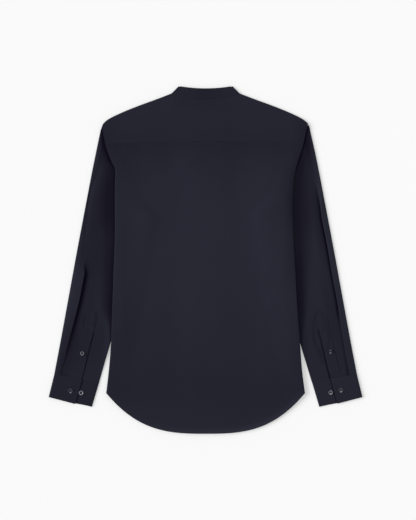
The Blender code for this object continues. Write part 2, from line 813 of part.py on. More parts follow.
def buttons():
    for k in range(FRONT_BUTTONS):
        y = FRONT_BUTTON_TOP - FRONT_BUTTON_STEP * k
        upside_down(button(f"front_button_{k + 1}", (0, y, BUTTON_THICK), 11))
    upside_down(button("collar_button", (0, COLLAR_BUTTON_Y, BUTTON_THICK), 11))
    _, lower, upper = cuff_heights()
    on_lap = upper + CUFF_WALL / 2 + SEAM
    on_end = lower + CUFF_WALL / 2 + SEAM
    placed = (
        Button("left_cuff_button_1", -310.0, -300.2, 10.5),
        Button("left_cuff_button_2", -285.7, -305.0, 10.5),
        Button("right_cuff_button_1", 310.7, -298.5, 10.5),
        Button("right_cuff_button_2", 287.3, -304.3, 10.5),
    )
    for made in placed:
        z = on_lap if made.name.endswith("1") else on_end
        button(made.name, (made.x, made.y, z), made.size)
    for side, x, y in (("left", 283.1, -214.4), ("right", 286.1, -210.5)):
        z = sleeve_top(side, x, y) + 1.5 * CLOTH + SEAM + 0.1 + SEAM
        button(side + "_gauntlet_button", (SIGN[side] * x, y, z), 9.5)


def upside_down(piece):
    piece.rotation_euler = (math.pi, 0, 0)


for old in list(bpy.data.objects):
    bpy.data.objects.remove(old)
bpy.context.scene.collection.children.link(bpy.data.collections.new(NAME))
back_panel()
fronts()
front_placket()
yoke()
collar_band()
sleeves()
cuffs()
gauntlets()
buttons()
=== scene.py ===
"""The looks of a mandarin collar shirt of navy cotton, buttoned and laid flat on its front.

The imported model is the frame. Each piece of cloth there is replaced by a finer shell on the same
form, with its creases, hem and stitching. x runs to the wearer's right, y to the collar, z up from
the floor. The sizes of the cloth are in millimetres and MM turns them into metres.
"""

import math
from collections import namedtuple

import bmesh
import bpy
import numpy as np
from mathutils import Matrix, Vector
from mathutils.bvhtree import BVHTree


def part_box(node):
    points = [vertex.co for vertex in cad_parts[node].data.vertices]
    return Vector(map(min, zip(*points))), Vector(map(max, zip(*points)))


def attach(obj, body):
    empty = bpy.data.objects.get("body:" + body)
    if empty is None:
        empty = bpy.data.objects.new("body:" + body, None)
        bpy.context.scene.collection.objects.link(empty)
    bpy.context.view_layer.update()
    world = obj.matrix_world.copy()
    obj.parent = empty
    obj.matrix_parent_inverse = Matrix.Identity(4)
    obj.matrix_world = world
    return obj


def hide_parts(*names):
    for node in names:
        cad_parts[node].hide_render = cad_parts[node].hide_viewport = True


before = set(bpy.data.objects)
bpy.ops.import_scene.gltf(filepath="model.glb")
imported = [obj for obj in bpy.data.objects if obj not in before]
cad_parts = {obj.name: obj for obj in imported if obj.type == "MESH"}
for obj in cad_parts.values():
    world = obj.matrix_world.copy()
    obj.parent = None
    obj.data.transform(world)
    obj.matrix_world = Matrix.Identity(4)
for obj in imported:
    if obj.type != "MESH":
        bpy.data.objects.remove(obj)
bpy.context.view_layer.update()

MM = 0.001

# ---- Floor, camera and light -----------------------------------------------------------------
# A pale studio table that is lit a little from within, seen from straight above. One wide soft
# light low on the left gives the folds their shade, and an even pale surround fills the rest.

FLOOR_SIDE, FLOOR_PALE, FLOOR_LIT = 60.0, 0.575, 0.335
FLOOR_UNDER = 0.0002  # how far the table lies under the shirt
CAMERA_HEIGHT, CAMERA_RIGHT, LENS, VIEW_SENSOR, VIEW_END = 3.32, 0.0055, 100.0, 36.0, 50.0
SURROUND, KEY_STRENGTH, KEY_SPREAD = 0.67, 2.58, 38.0
KEY_FROM = Vector((-0.86, 0.1, 0.5))
scene = bpy.context.scene


def put(name, data):
    """A new object of the scene."""
    made = bpy.data.objects.new(name, data)
    scene.collection.objects.link(made)
    return made


half = FLOOR_SIDE / 2
floor_mesh = bpy.data.meshes.new("table_top")
floor_mesh.from_pydata(
    [(-half, -half, 0), (half, -half, 0), (half, half, 0), (-half, half, 0)], [], [(0, 1, 2, 3)]
)
floor = put("table_top", floor_mesh)
floor.location.z = -FLOOR_UNDER

camera = put("camera", bpy.data.cameras.new("camera"))
camera.data.lens = LENS
camera.data.sensor_width = VIEW_SENSOR
camera.location = (CAMERA_RIGHT, 0, CAMERA_HEIGHT)
camera.data.clip_end = VIEW_END
scene.camera = camera
scene.view_settings.view_transform = "Standard"

key = put("key_light", bpy.data.lights.new("key_light", "SUN"))
key.data.energy = KEY_STRENGTH
key.data.angle = math.radians(KEY_SPREAD)
key.rotation_mode = "QUATERNION"
key.rotation_quaternion = KEY_FROM.to_track_quat("Z", "Y")

world = bpy.data.worlds.new("surround")
world.use_nodes = True
sky = world.node_tree.nodes["Background"].inputs
sky["Color"].default_value = (1, 1, 1, 1)
sky["Strength"].default_value = SURROUND
scene.world = world


class Wire:
    """A shader socket, which makes a Math node of each sum it is used in."""

    def __init__(self, maker, socket):
        self.maker, self.socket = maker, socket

    def maths(self, operation, *others):
        return self.maker.node("Math", {"operation": operation}, [self, *others])[0]

    def __add__(self, other):
        return self.maths("ADD", other)

    def __mul__(self, other):
        return self.maths("MULTIPLY", other)

    def __sub__(self, other):
        return self.maths("SUBTRACT", other)


class Finish:
    """A material in the making."""

    def __init__(self, name):
        self.material = bpy.data.materials.new(name)
        self.material.use_nodes = True
        self.tree = self.material.node_tree
        self.shader = self.tree.nodes["Principled BSDF"]

    def plug(self, socket, value):
        if isinstance(value, Wire):
            self.tree.links.new(value.socket, socket)
        else:
            socket.default_value = value

    def node(self, kind, settings=None, values=()):
        """A node's outputs, made from its type, its settings and what its sockets take."""
        made = self.tree.nodes.new("ShaderNode" + kind)
        for name, value in (settings or {}).items():
            setattr(made, name, value)
        pairs = values.items() if isinstance(values, dict) else enumerate(values)
        for place, value in pairs:
            self.plug(made.inputs[place], value)
        return [Wire(self, socket) for socket in made.outputs]

    def place(self):
        return self.node("TexCoord")[3]

    def carried(self, name):
        """A value that the mesh carries."""
        return self.node("Attribute", {"attribute_name": name})[2]

    def noise(self, place, scale, detail, **more):
        values = {"Vector": place, "Scale": scale, "Detail": detail, **more}
        return self.node("TexNoise", {}, values)[0]

    def ramp(self, factor, *stops):
        """A ramp between two stops, each a (place, colour)."""
        colour = self.node("ValToRGB", {}, [factor])[0]
        ends = colour.socket.node.color_ramp.elements
        for end, (place, value) in zip([ends[0], ends[1]], stops):
            end.position, end.color = place, (*value, 1)
        return colour

    def bump(self, height, strength, distance):
        values = {"Height": height, "Strength": strength, "Distance": distance}
        return self.node("Bump", {}, values)[0]

    def set(self, **values):
        for name, value in values.items():
            self.plug(self.shader.inputs[name.replace("_", " ")], value)


table = Finish("pale_table")
mottle = table.noise(table.place(), 1.5, 2.0)
table.set(
    Base_Color=table.ramp(mottle, (0.3, (FLOOR_PALE,) * 3), (0.7, (FLOOR_PALE * 0.995,) * 3)),
    Roughness=0.8,
    Specular_IOR_Level=0.0,
    Emission_Color=(1, 1, 1, 1),
    Emission_Strength=FLOOR_LIT,
)
floor.data.materials.append(table.material)

# ---- Back panel ------------------------------------------------------------------------------
# The whole back below the yoke, cut in one piece from fine navy cotton. Its sides fold under as
# soft tucks, its top is sewn to the yoke, and its curved hem is turned up twice and stitched.

CLOTH = 1.0  # wall of one layer
LAYER = 1.6  # one layer and the air above it
SEAM = 0.3  # gap between two pieces at a seam
ROLL = 0.8  # radius of a folded edge, to the middle of the cloth
NAVY, NAVY_WORN = (0.0164, 0.0164, 0.0274), (0.0186, 0.0186, 0.0304)
# Painted shade: where a point's painted light is low, the cloth's colour runs towards this.
NAVY_PAINTED_SHADE = (0.0014, 0.0004, 0.0052)  # its colour in the deepest folds
YARN = 0.55  # distance from yarn to yarn
STEP = 3.6  # distance from point to point of the finer cloth
CLOTH_SHARP = 50  # degrees

HEM_CENTRE, HEM_SIDE, HEM_HALF, HEM_TURN = -398.7, -304.8, 228.2, 7.0
YOKE_SEAM, YOKE_SEAM_DIP = 271.5, 4.5
PIT, PIT_DEPTH = 108.0, 73.0  # height of the underarm point, and how deep its tuck is
FOLD_TOP, FOLD_WHOLE = 210.0, 170.0  # heights where the side fold begins, and where it is whole
LEVEL_END = -130.0  # below it the rows bend to the hem


def smooth(t):
    t = np.clip(t, 0, 1)
    return t * t * (3 - 2 * t)


def mix(a, b, t):
    return a + (b - a) * t


def curve(places, values):
    """A smooth curve through values at rising places, straight past its ends."""
    x, v = np.array(places, float), np.array(values, float)
    slope = np.diff(v) / np.diff(x)
    ease = np.concatenate([slope[:1], (slope[:-1] + slope[1:]) / 2, slope[-1:]])

    def at(where):
        where = np.asarray(where, float)
        i = np.clip(np.searchsorted(x, where, "right") - 1, 0, len(slope) - 1)
        step = x[i + 1] - x[i]
        t = (where - x[i]) / step
        u = np.clip(t, 0, 1)
        inside = (
            v[i] * (1 + 2 * u) * (1 - u) ** 2 + v[i + 1] * u * u * (3 - 2 * u)
            + step * (ease[i] * u * (1 - u) ** 2 - ease[i + 1] * u * u * (1 - u))
        )
        return inside + (t - u) * step * np.where(t < 0, slope[0], slope[-1])

    return at


def both(places, left, right):
    """A curve for each side, through values at the same places."""
    return {"left": curve(places, left), "right": curve(places, right)}


# The edge of the body seen from above: the armhole seam down to FOLD_TOP, then a fold.
BODY_EDGE = both(
    (-305, -254, -195, -115, -28, 57, 138, 180, 210, 229, 261.3, 302, 320),
    (228.2, 222.2, 217.4, 214.2, 211, 208, 208, 208, 208.6, 217.6, 229.3, 238.6, 242),
    (228.2, 221.6, 217, 210.6, 205.8, 201.2, 200.3, 203, 207.5, 213, 223, 232, 237),
)
SIDE_SEAM = curve((-305, -190, 108), (203, 181, 135))
SLEEVE_INNER = both(
    (-278.3, -231.2, -190, -130, -60, 30, 112.4),
    (243.8, 230.2, 217.9, 203.6, 189, 167, 144),
    (243.2, 229.4, 217.2, 203.5, 189, 167, 144),
)
SIGN = {"left": -1, "right": 1}


def hem(x):
    return HEM_CENTRE + (HEM_SIDE - HEM_CENTRE) * (np.abs(x) / HEM_HALF) ** 3


def hem_slope(x):
    return 3 * (HEM_SIDE - HEM_CENTRE) * x**2 / HEM_HALF**3 * np.sign(x)


def yoke_seam(x):
    return YOKE_SEAM - YOKE_SEAM_DIP * (x / 230) ** 2


def tuck_end(side, y):
    """Where a tuck ends, inside the body: at the side seam, or above it at the armhole."""
    edge = BODY_EDGE[side](y)
    rise = np.clip((FOLD_TOP - y) / (FOLD_TOP - PIT), 0, 1)
    above = edge - PIT_DEPTH * (1 - np.sqrt(1 - rise**2))
    return np.where(y <= PIT, SIDE_SEAM(y) + edge - BODY_EDGE["left"](y), above)


def sleeve_inner(side, y):
    """Where a sleeve begins, inside the body."""
    above = np.where(y <= FOLD_TOP + 3, tuck_end(side, y - 3) - 4, BODY_EDGE[side](y) - 4)
    return np.where(y <= 112.4, SLEEVE_INNER[side](y), above)


def on_tuck(side, x, y):
    inward = 1 - smooth((tuck_end(side, y) - np.abs(x)) / 70)
    return inward * (1 - smooth((y - FOLD_TOP) / 45))


def back_tuck(side, x, y):
    start = sleeve_inner(side, y) - 2
    reach = np.maximum(start - tuck_end(side, y), 6)
    sleeve = 1 - smooth((start - np.abs(x)) / reach) * smooth((PIT - y) / 40)
    return CLOTH / 2 + LAYER * (2 + 2 * sleeve)


def back_height(side, x, y):
    """Middle of the back's cloth: over the sleeves and tucks at the sides, the placket inside."""
    sleeves = 1 - smooth((sleeve_inner(side, y) - 2 - np.abs(x)) / 70)
    lift = 2 * LAYER * (on_tuck(side, x, y) + sleeves)
    rest = 2.5 + 1.5 * (1 - smooth((np.abs(x) - 22) / 58)) * (1 - smooth((y - 340) / 30))
    return CLOTH / 2 + LAYER + (lift + rest + np.sqrt((lift - rest) ** 2 + 1)) / 2


def above_hem(x, y):
    """How far a point is from the edge of the hem."""
    return (y - hem(x)) / np.hypot(hem_slope(x), 1)


def hem_fold(x, y):
    """The turned-up hem is thicker than the cloth, and its sewing draws it into small puckers."""
    up = above_hem(x, y)
    puckers = np.sin(x / 1.9 + 1.7 * np.sin(x / 23)) * np.exp(-((up / 6) ** 2))
    return 0.28 * (1 - smooth((up - HEM_TURN + 1.2) / 2.4)) + 0.13 * puckers


# Soft creases: a line from one end to the other, how wide and how high it is, and its bow.
Crease = namedtuple("Crease", "x1 y1 x2 y2 width height bow")
BACK_CREASES = (
    Crease(-176, 250, -120, 60, 24, 1.2, 10),
    Crease(-110, 262, -50, 120, 28, -1.3, -14),
    Crease(-40, 262, 30, 150, 32, 1.3, 10),
    Crease(90, 262, 80, 90, 26, -1.1, 12),
    Crease(150, 256, 126, 90, 24, 1.2, -8),
    Crease(184, 150, 176, -60, 14, 0.8, -4),
    Crease(-196, 120, -190, -190, 12, 0.7, 3),
    Crease(-120, 40, -140, -240, 36, 1.1, -16),
    Crease(-30, 60, -60, -300, 42, -1.0, 18),
    Crease(70, 20, 60, -320, 40, 1.0, -14),
    Crease(160, -60, 140, -330, 28, 0.9, 12),
    Crease(-150, -160, 130, -190, 44, -0.9, 22),
    Crease(-160, -330, 150, -345, 22, 0.8, -10),
)


def creased(creases, x, y):
    """How far creases lift a point of the cloth."""
    lift = 0
    for c in creases:
        way = np.array([c.x2 - c.x1, c.y2 - c.y1])
        length = np.hypot(*way)
        along = ((x - c.x1) * way[0] + (y - c.y1) * way[1]) / length**2
        off = ((x - c.x1) * way[1] - (y - c.y1) * way[0]) / length
        inside = np.clip(along, 0, 1)
        off = off - c.bow * 4 * inside * (1 - inside)
        fade = smooth((along + 0.15) / 0.4) * smooth((1.15 - along) / 0.4)
        lift = lift + c.height * fade * np.exp(-((off / c.width) ** 2))
    return lift


def row_of(x, y, z, tone=1.0):
    """Points of a row of cloth, each with the painted shade or highlight of its colour."""
    return np.stack(np.broadcast_arrays(x, y, z, tone), axis=-1).astype(float)


def turn(x, y, way, high, low, radius, steps=6):
    """The inner points of a folded edge, from its layer at high to the one at low."""
    angle = np.pi * np.arange(1, steps) / steps
    out = radius * np.sin(angle)
    z = (low + high) / 2 + (high - low) / 2 * np.cos(angle)
    return row_of(x + way[0] * out, y + way[1] * out, z)


def cloth(name, rows, wall=CLOTH, ring=False, fan=True):
    """A shell of cloth on rows of points. A row is (its first column's number, its points).

    With fan, a column that one row lacks is gathered into that row's last point.
    """
    form = bmesh.new()
    uv = form.loops.layers.uv.new("weave")
    # Each point carries its painted light, the shade or highlight painted into its colour.
    tone = form.verts.layers.float.new("tone")
    made, placed = [], []
    for start, points in rows:
        row = {}
        for i, point in enumerate(points):
            row[start + i] = form.verts.new(point[:3] * MM)
            row[start + i][tone] = point[3]
        made.append(row)
    widest = max(rows, key=lambda row: len(row[1]))
    steps = np.hypot(*np.diff(widest[1][:, :2], axis=0).T)
    across = dict(zip(range(widest[0], widest[0] + len(widest[1])), np.cumsum(np.r_[0, steps])))
    down = np.cumsum([0] + [
        np.hypot(*(b[len(b) // 2, :2] - a[len(a) // 2, :2]))
        for (_, a), (_, b) in zip(rows, rows[1:])
    ])
    for k, (upper, lower) in enumerate(zip(made, made[1:])):
        first = min(min(upper), min(lower)) if fan else max(min(upper), min(lower))
        last = max(max(upper), max(lower)) if fan else min(max(upper), max(lower))
        columns = [(i, i + 1) for i in range(first, last)] + [(last, first)] * ring
        for i, j in columns:
            corners, flat = [], []
            ways = (upper, i, k), (lower, i, k + 1), (lower, j, k + 1), (upper, j, k)
            for row, column, v in ways:
                vert = row[min(max(column, min(row)), max(row))]
                if vert not in corners:
                    corners.append(vert)
                    closing = (i, j) == (last, first) and column == j
                    u = across[i] + STEP if closing else across[column]
                    flat.append((u * MM, down[v] * MM))
            if len(corners) > 2:
                for loop, place in zip(form.faces.new(corners).loops, flat):
                    loop[uv].uv = place
    bmesh.ops.recalc_face_normals(form, faces=form.faces)
    piece = put(name, mesh_of(name, form))
    shell = piece.modifiers.new("wall", "SOLIDIFY")
    shell.thickness, shell.offset = wall * MM, 0
    return softened(plain(piece), CLOTH_SHARP)


def mesh_of(name, form):
    """A mesh of what was formed, which is then freed."""
    mesh = bpy.data.meshes.new(name)
    form.to_mesh(mesh)
    form.free()
    return mesh


def plain(piece):
    """The piece as a plain mesh, with its modifiers worked out."""
    seen = piece.evaluated_get(bpy.context.evaluated_depsgraph_get())
    mesh = bpy.data.meshes.new_from_object(seen)
    piece.modifiers.clear()
    piece.data = mesh
    mesh.name = piece.name
    return piece


def softened(piece, angle):
    """The piece with smooth shading, but for edges sharper than an angle in degrees."""
    piece.data.shade_smooth()
    piece.data.set_sharp_from_angle(angle=math.radians(angle))
    return piece


def sewn(piece):
    """Gives a piece of cloth its cotton and its place in the frame."""
    piece.data.materials.clear()
    piece.data.materials.append(cotton.material)
    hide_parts(piece.name.removesuffix("_cloth"))
    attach(piece, "root")


cotton = Finish("navy_cotton")
weave = cotton.node("UVMap", {"uv_map": "weave"})[0]
spread = cotton.node("SeparateXYZ", {}, [weave])
turns = 2 * math.pi / (YARN * MM)
warp = (spread[0] * turns).maths("SINE")
weft = (spread[1] * turns).maths("SINE")
drawn_out = cotton.node("Mapping", {}, {"Vector": weave, "Scale": (60, 900, 1)})[0]
slub = cotton.noise(drawn_out, 1.0, 3.0)
cloud = cotton.noise(weave, 9.0, 4.0, Roughness=0.6)
# Painted light: the navy runs down to the darkest painted shade, or up where a highlight is
# painted.
tone = cotton.carried("tone")
worn = cotton.ramp(cloud * 0.7 + slub * 0.3, (0.25, NAVY), (0.75, NAVY_WORN))
cotton.set(
    Base_Color=cotton.node(
        "Mix", {"data_type": "RGBA", "clamp_factor": False},
        {"Factor": tone, 6: (*NAVY_PAINTED_SHADE, 1), 7: worn},
    )[2],
    Roughness=slub * 0.1 + 0.82,
    Sheen_Weight=0.02,
    Sheen_Roughness=0.5,
    Specular_IOR_Level=0.04,
    Normal=cotton.bump(warp * weft * 0.5 + slub, 0.25, 0.00012),
)


def row_y(kind, value, top, x):
    """Height at x of a panel's row, which is level, or bent between a level and an edge."""
    if kind == "upper":
        return mix(top(x), FOLD_TOP, value)
    return np.full_like(x, value) if kind == "level" else mix(LEVEL_END, hem(x), value)


def half_row(side, kind, value, middle, top, heights, creases, painted_light_of):
    """Points of half a panel from its middle to its edge, and round the fold to the tuck's end."""
    sign, (main, tuck) = SIGN[side], heights
    top_side = float(top(BODY_EDGE[side](YOKE_SEAM)))
    if kind == "upper":
        y_edge = mix(top_side, FOLD_TOP, value)
    elif kind == "level":
        y_edge = value
    else:
        y_edge = LEVEL_END
        for _ in range(8):
            y_edge = mix(LEVEL_END, float(hem(BODY_EDGE[side](y_edge))), value)
    edge = float(BODY_EDGE[side](y_edge))
    folded = float(np.clip((FOLD_TOP - y_edge) / (FOLD_TOP - FOLD_WHOLE), 0, 1))
    beside_seam = value if kind == "upper" else 1
    last = edge - ROLL * min(folded * 4, 1) - CLOTH / 2 * beside_seam
    x = mix(middle, last, np.linspace(0, 1, PANEL_COLUMNS))
    x_top = mix(middle, float(BODY_EDGE[side](top_side)), np.linspace(0, 1, PANEL_COLUMNS))
    y = row_y(kind, value, top, x_top if kind == "upper" else x)
    lift = creased(creases, sign * x, y)
    z = main(side, x, y) + np.where(lift < 0, lift * smooth((135 - x) / 40), lift) + hem_fold(x, y)
    points = row_of(sign * x, y, z, painted_light_of(side, x, y))
    if not folded:
        return points
    tuck_y = min(y_edge, FOLD_WHOLE)
    tuck_edge = float(BODY_EDGE[side](tuck_y))
    tuck_last = tuck_edge - ROLL - CLOTH / 2
    high = points[-1][2]
    low = float(tuck(side, tuck_last, tuck_y))
    end = float(tuck_end(side, tuck_y))
    bent = turn(sign * tuck_last, tuck_y if kind == "level" else y[-1], (sign, 0), high, low, ROLL)
    under = np.linspace(tuck_last, end, TUCK_COLUMNS)
    under_y = np.full_like(under, tuck_y)
    if kind == "hem":
        under_y = row_y(kind, value, top, 2 * edge - under)
    z = tuck(side, under, under_y)
    z[-1] += (LAYER - CLOTH - SEAM) / 2 * (1 if low > high else -1)
    bent = np.concatenate([bent, row_of(sign * under, under_y, z)])
    # Painted highlight on the rolled edge, running into painted shade under the fold.
    roll_painted_light = points[-1][3] * ROLL_PAINTED_HIGHLIGHT[side]
    bent[:, 3] = mix(roll_painted_light, UNDER_PAINTED_SHADE, np.clip(np.arange(len(bent)) / 5 - 0.4, 0, 1))
    if folded < 1:
        bent[:, :3] = mix(points[-1][:3], bent[:, :3] + [0, y_edge - tuck_y, 0], folded)
    return np.concatenate([points, bent])


PANEL_COLUMNS, TUCK_COLUMNS = 62, 12
UPPER_LONG, LEVEL_LONG, HEM_LONG = 62, 340, 262  # a panel above its fold, beside it, and below
# A painted highlight on a folded edge, and the painted shade under it.
ROLL_PAINTED_HIGHLIGHT, UNDER_PAINTED_SHADE = {"left": 1.0, "right": 1.6}, 0.6  # tones of a folded edge, and under it


def panel_rows(step):
    rows = [("upper", share) for share in np.linspace(0, 1, int(UPPER_LONG / step) + 1)]
    levels = np.linspace(FOLD_TOP, LEVEL_END, int(LEVEL_LONG / step) + 1)[1:]
    rows += [("level", y) for y in levels]
    shares = np.linspace(0, 0.97, int(HEM_LONG / step))[1:]
    return rows + [("hem", share) for share in (*shares, 0.975, 0.981, 0.987, 0.993, 1.0)]


# Painted light on the back: how light its middle is painted down its length, how deep the
# painted shade at its right edge is, and how strong a painted highlight its doubled hem has
# from left to right.
BACK_PAINTED_LIGHT = curve(
    (-399, -370, -310, -212, -92, 175, 230, 271), (0.95, 0.89, 0.82, 0.89, 1.0, 1.0, 0.89, 0.77))
RIGHT_SHADE = curve(
    (-399, -212, -100, 9, 64, 120, 190, 271), (0.1, 0.2, 0.15, 0.3, 0.38, 0.55, 0.5, 0.2))
HEM_PAINTED_HIGHLIGHT = curve((-228, -150, -60, 0, 80, 150, 228), (0.07, 0.06, 0.12, 0.15, 0.19, 0.18, 0.14))


def back_painted_light(side, x, y):
    """Painted shade below the yoke, towards the hem and at rolling edges, and painted highlights.
    """
    painted_hem_highlight = HEM_PAINTED_HIGHLIGHT(SIGN[side] * x) * smooth(1 - above_hem(x, y) / 17)
    light = BACK_PAINTED_LIGHT(y) * (1 + painted_hem_highlight) ** 2.2
    if side == "left":
        # Left side: painted shade towards its edge, and a painted highlight on the edge's roll.
        lit = 0.08 * smooth((x - BODY_EDGE[side](y) + 5) / 4)
        return light * (1 - 0.1 * smooth((x - 130) / 60) * smooth((y + 270) / 130)) * (1 + lit)
    # Right side: a little painted light towards its edge, and painted shade where the edge turns
    # away.
    away = np.maximum(BODY_EDGE[side](y) - x, 0)
    return light * (1 + 0.03 * smooth((x - 90) / 50)) * (1 - RIGHT_SHADE(y) * np.exp(-away / 22))


def back_top(x):
    """The top edge, which is pressed closer to the yoke towards its ends."""
    return yoke_seam(x) - SEAM / 2 + mix(0.1, 0.26, smooth((np.abs(x) - 110) / 70))


BACK_HEIGHTS = back_height, back_tuck
rows = []
for kind, value in panel_rows(STEP):
    left, right = (
        half_row(side, kind, value, 0.0, back_top, BACK_HEIGHTS, BACK_CREASES, back_painted_light)
        for side in SIGN
    )
    rows.append((1 - len(left), np.concatenate([left[:0:-1], right])))
back = cloth("back_panel_cloth", rows)
sewn(back)

# ---- Yoke ------------------------------------------------------------------------------------
# A doubled panel across the shoulders. It is sewn to the back below and to the collar band at
# the neck, goes over the shoulder as a soft fold, and ends at the seam with each front.

NECK_HALF, NECK_SIDE, NECK_BACK, NECK_FRONT = 78.5, 382.5, 369.6, 302.0
FRONT_YOKE_SIDE = 272.0  # height where the front yoke seam meets the armhole
NECK_CORNER = 23.5  # angle where the front yoke seam meets the neckline
SHOULDER = curve(
    (78.5, 113, 150.9, 185.6, 206, 220.5, 230.5, 236, 239),
    (382.5, 369.2, 355.4, 341.6, 332.4, 325, 317.9, 311.5, 304),
)
SHOULDER_END = {"left": (238.6, 304.8), "right": (236.2, 311.6)}
YOKE_CREASES = (
    Crease(-60, 366, -190, 318, 15, 0.7, -6),
    Crease(66, 366, 196, 322, 15, 0.7, 7),
    Crease(-120, 300, 120, 306, 22, -0.6, 10),
    Crease(-40, 352, 60, 346, 14, 0.5, 5),
)


def yoke_painted_light(x, y):
    """Painted shade by the back seam, neck and armhole, and at the right shoulder's end."""
    low = 1 - smooth((y - 272) / 60)
    painted_neck_shade = smooth((y - 325) / 40) * (1 - smooth((np.abs(x) - 30) / 60))
    ends = 1 - 0.22 * smooth((x - 190) / 40) - 0.06 * smooth((-x - 190) / 40)
    painted_armhole_shade = 0.6 * np.exp(-np.maximum(BODY_EDGE["left"](y) + x, 0) / 1.8)
    painted_armhole_shade = painted_armhole_shade * (1 - smooth((y - 300) / 12))
    return (0.92 - 0.08 * low - 0.1 * painted_neck_shade) * ends * (1 - painted_armhole_shade)


def neck_seam(x):
    return NECK_BACK + (NECK_SIDE - NECK_BACK) * (np.abs(x) / NECK_HALF) ** 2.2


def neck_point(angle, outside):
    """A point of the front neckline, at an angle down from the shoulder."""
    bent = np.radians(angle)
    x = (NECK_HALF + outside) * np.cos(bent)
    return x, NECK_SIDE - (NECK_SIDE - NECK_FRONT + outside) * np.sin(bent)


def front_yoke_seam(side, x):
    neck_x, neck_y = neck_point(NECK_CORNER, 0)
    side_x = BODY_EDGE[side](FRONT_YOKE_SIDE)
    return mix(neck_y, FRONT_YOKE_SIDE, (np.abs(x) - neck_x) / (side_x - neck_x))


def yoke_column(side, share):
    """One column beside the neck: up the back, over the shoulder fold, down the front."""
    sign, edge = SIGN[side], BODY_EDGE[side]
    end_x, end_y = SHOULDER_END[side]
    top_x = mix(NECK_HALF, end_x, share)
    top_y = end_y if share == 1 else float(SHOULDER(top_x))
    slope = float(SHOULDER(top_x + 1) - SHOULDER(top_x - 1)) / 2
    out = np.array([-slope, 1]) / math.hypot(slope, 1)
    radius = (float(back_height(side, top_x, top_y)) - CLOTH / 2) / 2
    centre = np.array([top_x, top_y]) - out * (radius + CLOTH / 2)
    seam_side = float(yoke_seam(edge(YOKE_SEAM)))
    k = np.linspace(0, 1, YOKE_UP)
    x = mix(NECK_HALF, edge(mix(seam_side, end_y, k)), share)
    low = np.where(k > 0, yoke_seam(x), yoke_seam(mix(NECK_HALF, edge(seam_side), share)))
    x[-1] = centre[0]
    y = mix(low + SEAM / 2, centre[1], k)
    z = back_height(side, x, y) + creased(YOKE_CREASES, sign * x, y) * smooth((1 - k) * 4)
    up = row_of(sign * x, y, z, yoke_painted_light(sign * x, y))
    over = turn(sign * centre[0], centre[1], (sign * out[0], out[1]), z[-1], CLOTH / 2, radius, 8)
    k = np.linspace(0, 1, YOKE_DOWN)
    neck_x, neck_y = neck_point(k * NECK_CORNER, SEAM / 2)
    x = mix(neck_x, edge(mix(centre[1], FRONT_YOKE_SIDE, k)), share)
    y = mix(centre[1], front_yoke_seam(side, x) + SEAM / 2, k) if share else neck_y
    x[0], y[0] = centre
    return np.concatenate([up, over, row_of(sign * x, y, CLOTH / 2)])


YOKE_UP, YOKE_DOWN = 30, 12
columns = []
for x in np.linspace(-NECK_HALF, NECK_HALF, 43)[1:-1]:
    y = mix(yoke_seam(x) + SEAM / 2, neck_seam(x) - SEAM / 2, np.linspace(0, 1, YOKE_UP))
    z = back_height("left" if x < 0 else "right", x, y) + creased(YOKE_CREASES, x, y)
    columns.append((x, row_of(x, y, z, yoke_painted_light(x, y))))
for side in SIGN:
    for share in (*np.linspace(0, 0.94, 40), 0.96, 0.975, 0.99, 1.0):
        x = SIGN[side] * mix(NECK_HALF, SHOULDER_END[side][0], share)
        columns.append((x, yoke_column(side, share)))
columns.sort(key=lambda column: column[0])
yoke = cloth("yoke_cloth", [(0, points) for _, points in columns], fan=False)
sewn(yoke)

# ---- Fronts and placket ----------------------------------------------------------------------
# Two fronts lie under the back, their sides folded in. The right one runs on under the placket,
# a strip sewn to the edge of the left one, which carries the buttonholes.

PLACKET = 35.0
FRONT_LIFT = {"left": 2.3, "right": 3.6}  # how far each front is lifted where it is lapped
FRONT_STEP = STEP * 1.7
FRONT_CREASES = (
    Crease(-150, 200, -60, -40, 26, 0.7, 12),
    Crease(120, 180, 60, -80, 28, 0.6, -14),
    Crease(-120, -120, -70, -330, 26, 0.6, 10),
    Crease(110, -60, 80, -310, 30, 0.7, -12),
)


def placket_lift(x, lift):
    return lift * (1 - smooth((np.abs(x) - 19) / 38))


def front_tuck(side, x, y):
    return np.full_like(np.asarray(x, float), CLOTH / 2 + LAYER)


def front_height(side, x, y):
    return CLOTH / 2 + placket_lift(x, FRONT_LIFT[side])


def front_top(side, x):
    """The neckline, and the yoke seam beside it."""
    corner = neck_point(NECK_CORNER, SEAM / 2)[0]
    across = np.minimum(np.abs(x) / (NECK_HALF + SEAM / 2), 1)
    neck = NECK_SIDE - (NECK_SIDE - NECK_FRONT + SEAM / 2) * np.sqrt(1 - across**2)
    return np.where(np.abs(x) <= corner, neck, front_yoke_seam(side, x) - SEAM / 2)


def front_tone(side, x, y):
    return np.ones_like(x)


FRONT_HEIGHTS = front_height, front_tuck
for side, start, width, area in (
    ("left", PLACKET / 2 + SEAM / 2, 305, 0.159),
    ("right", -PLACKET / 2 - SEAM / 2, 340, 0.182),
):
    rows = [
        (0, half_row(side, kind, value, start, lambda x: front_top(side, x),
                     FRONT_HEIGHTS, FRONT_CREASES, front_tone))
        for kind, value in panel_rows(FRONT_STEP)
    ]
    sewn(cloth(side + "_front_cloth", rows))

rows = []
for kind, value in panel_rows(FRONT_STEP):
    x = np.linspace(-1, 1, 9) * (PLACKET / 2 - SEAM / 2)
    y = row_y(kind, value, lambda x: front_top("left", x), x)
    rows.append((0, row_of(x, y, front_height("left", x, y) + hem_fold(x, y))))
placket = cloth("front_placket_cloth", rows)
sewn(placket)

# ---- Collar band -----------------------------------------------------------------------------
# The band collar: a firm doubled strip that stands round the neck when worn. Laid down, its back
# lies on top, it folds at each side of the neck, and its ends lap at the front underneath.

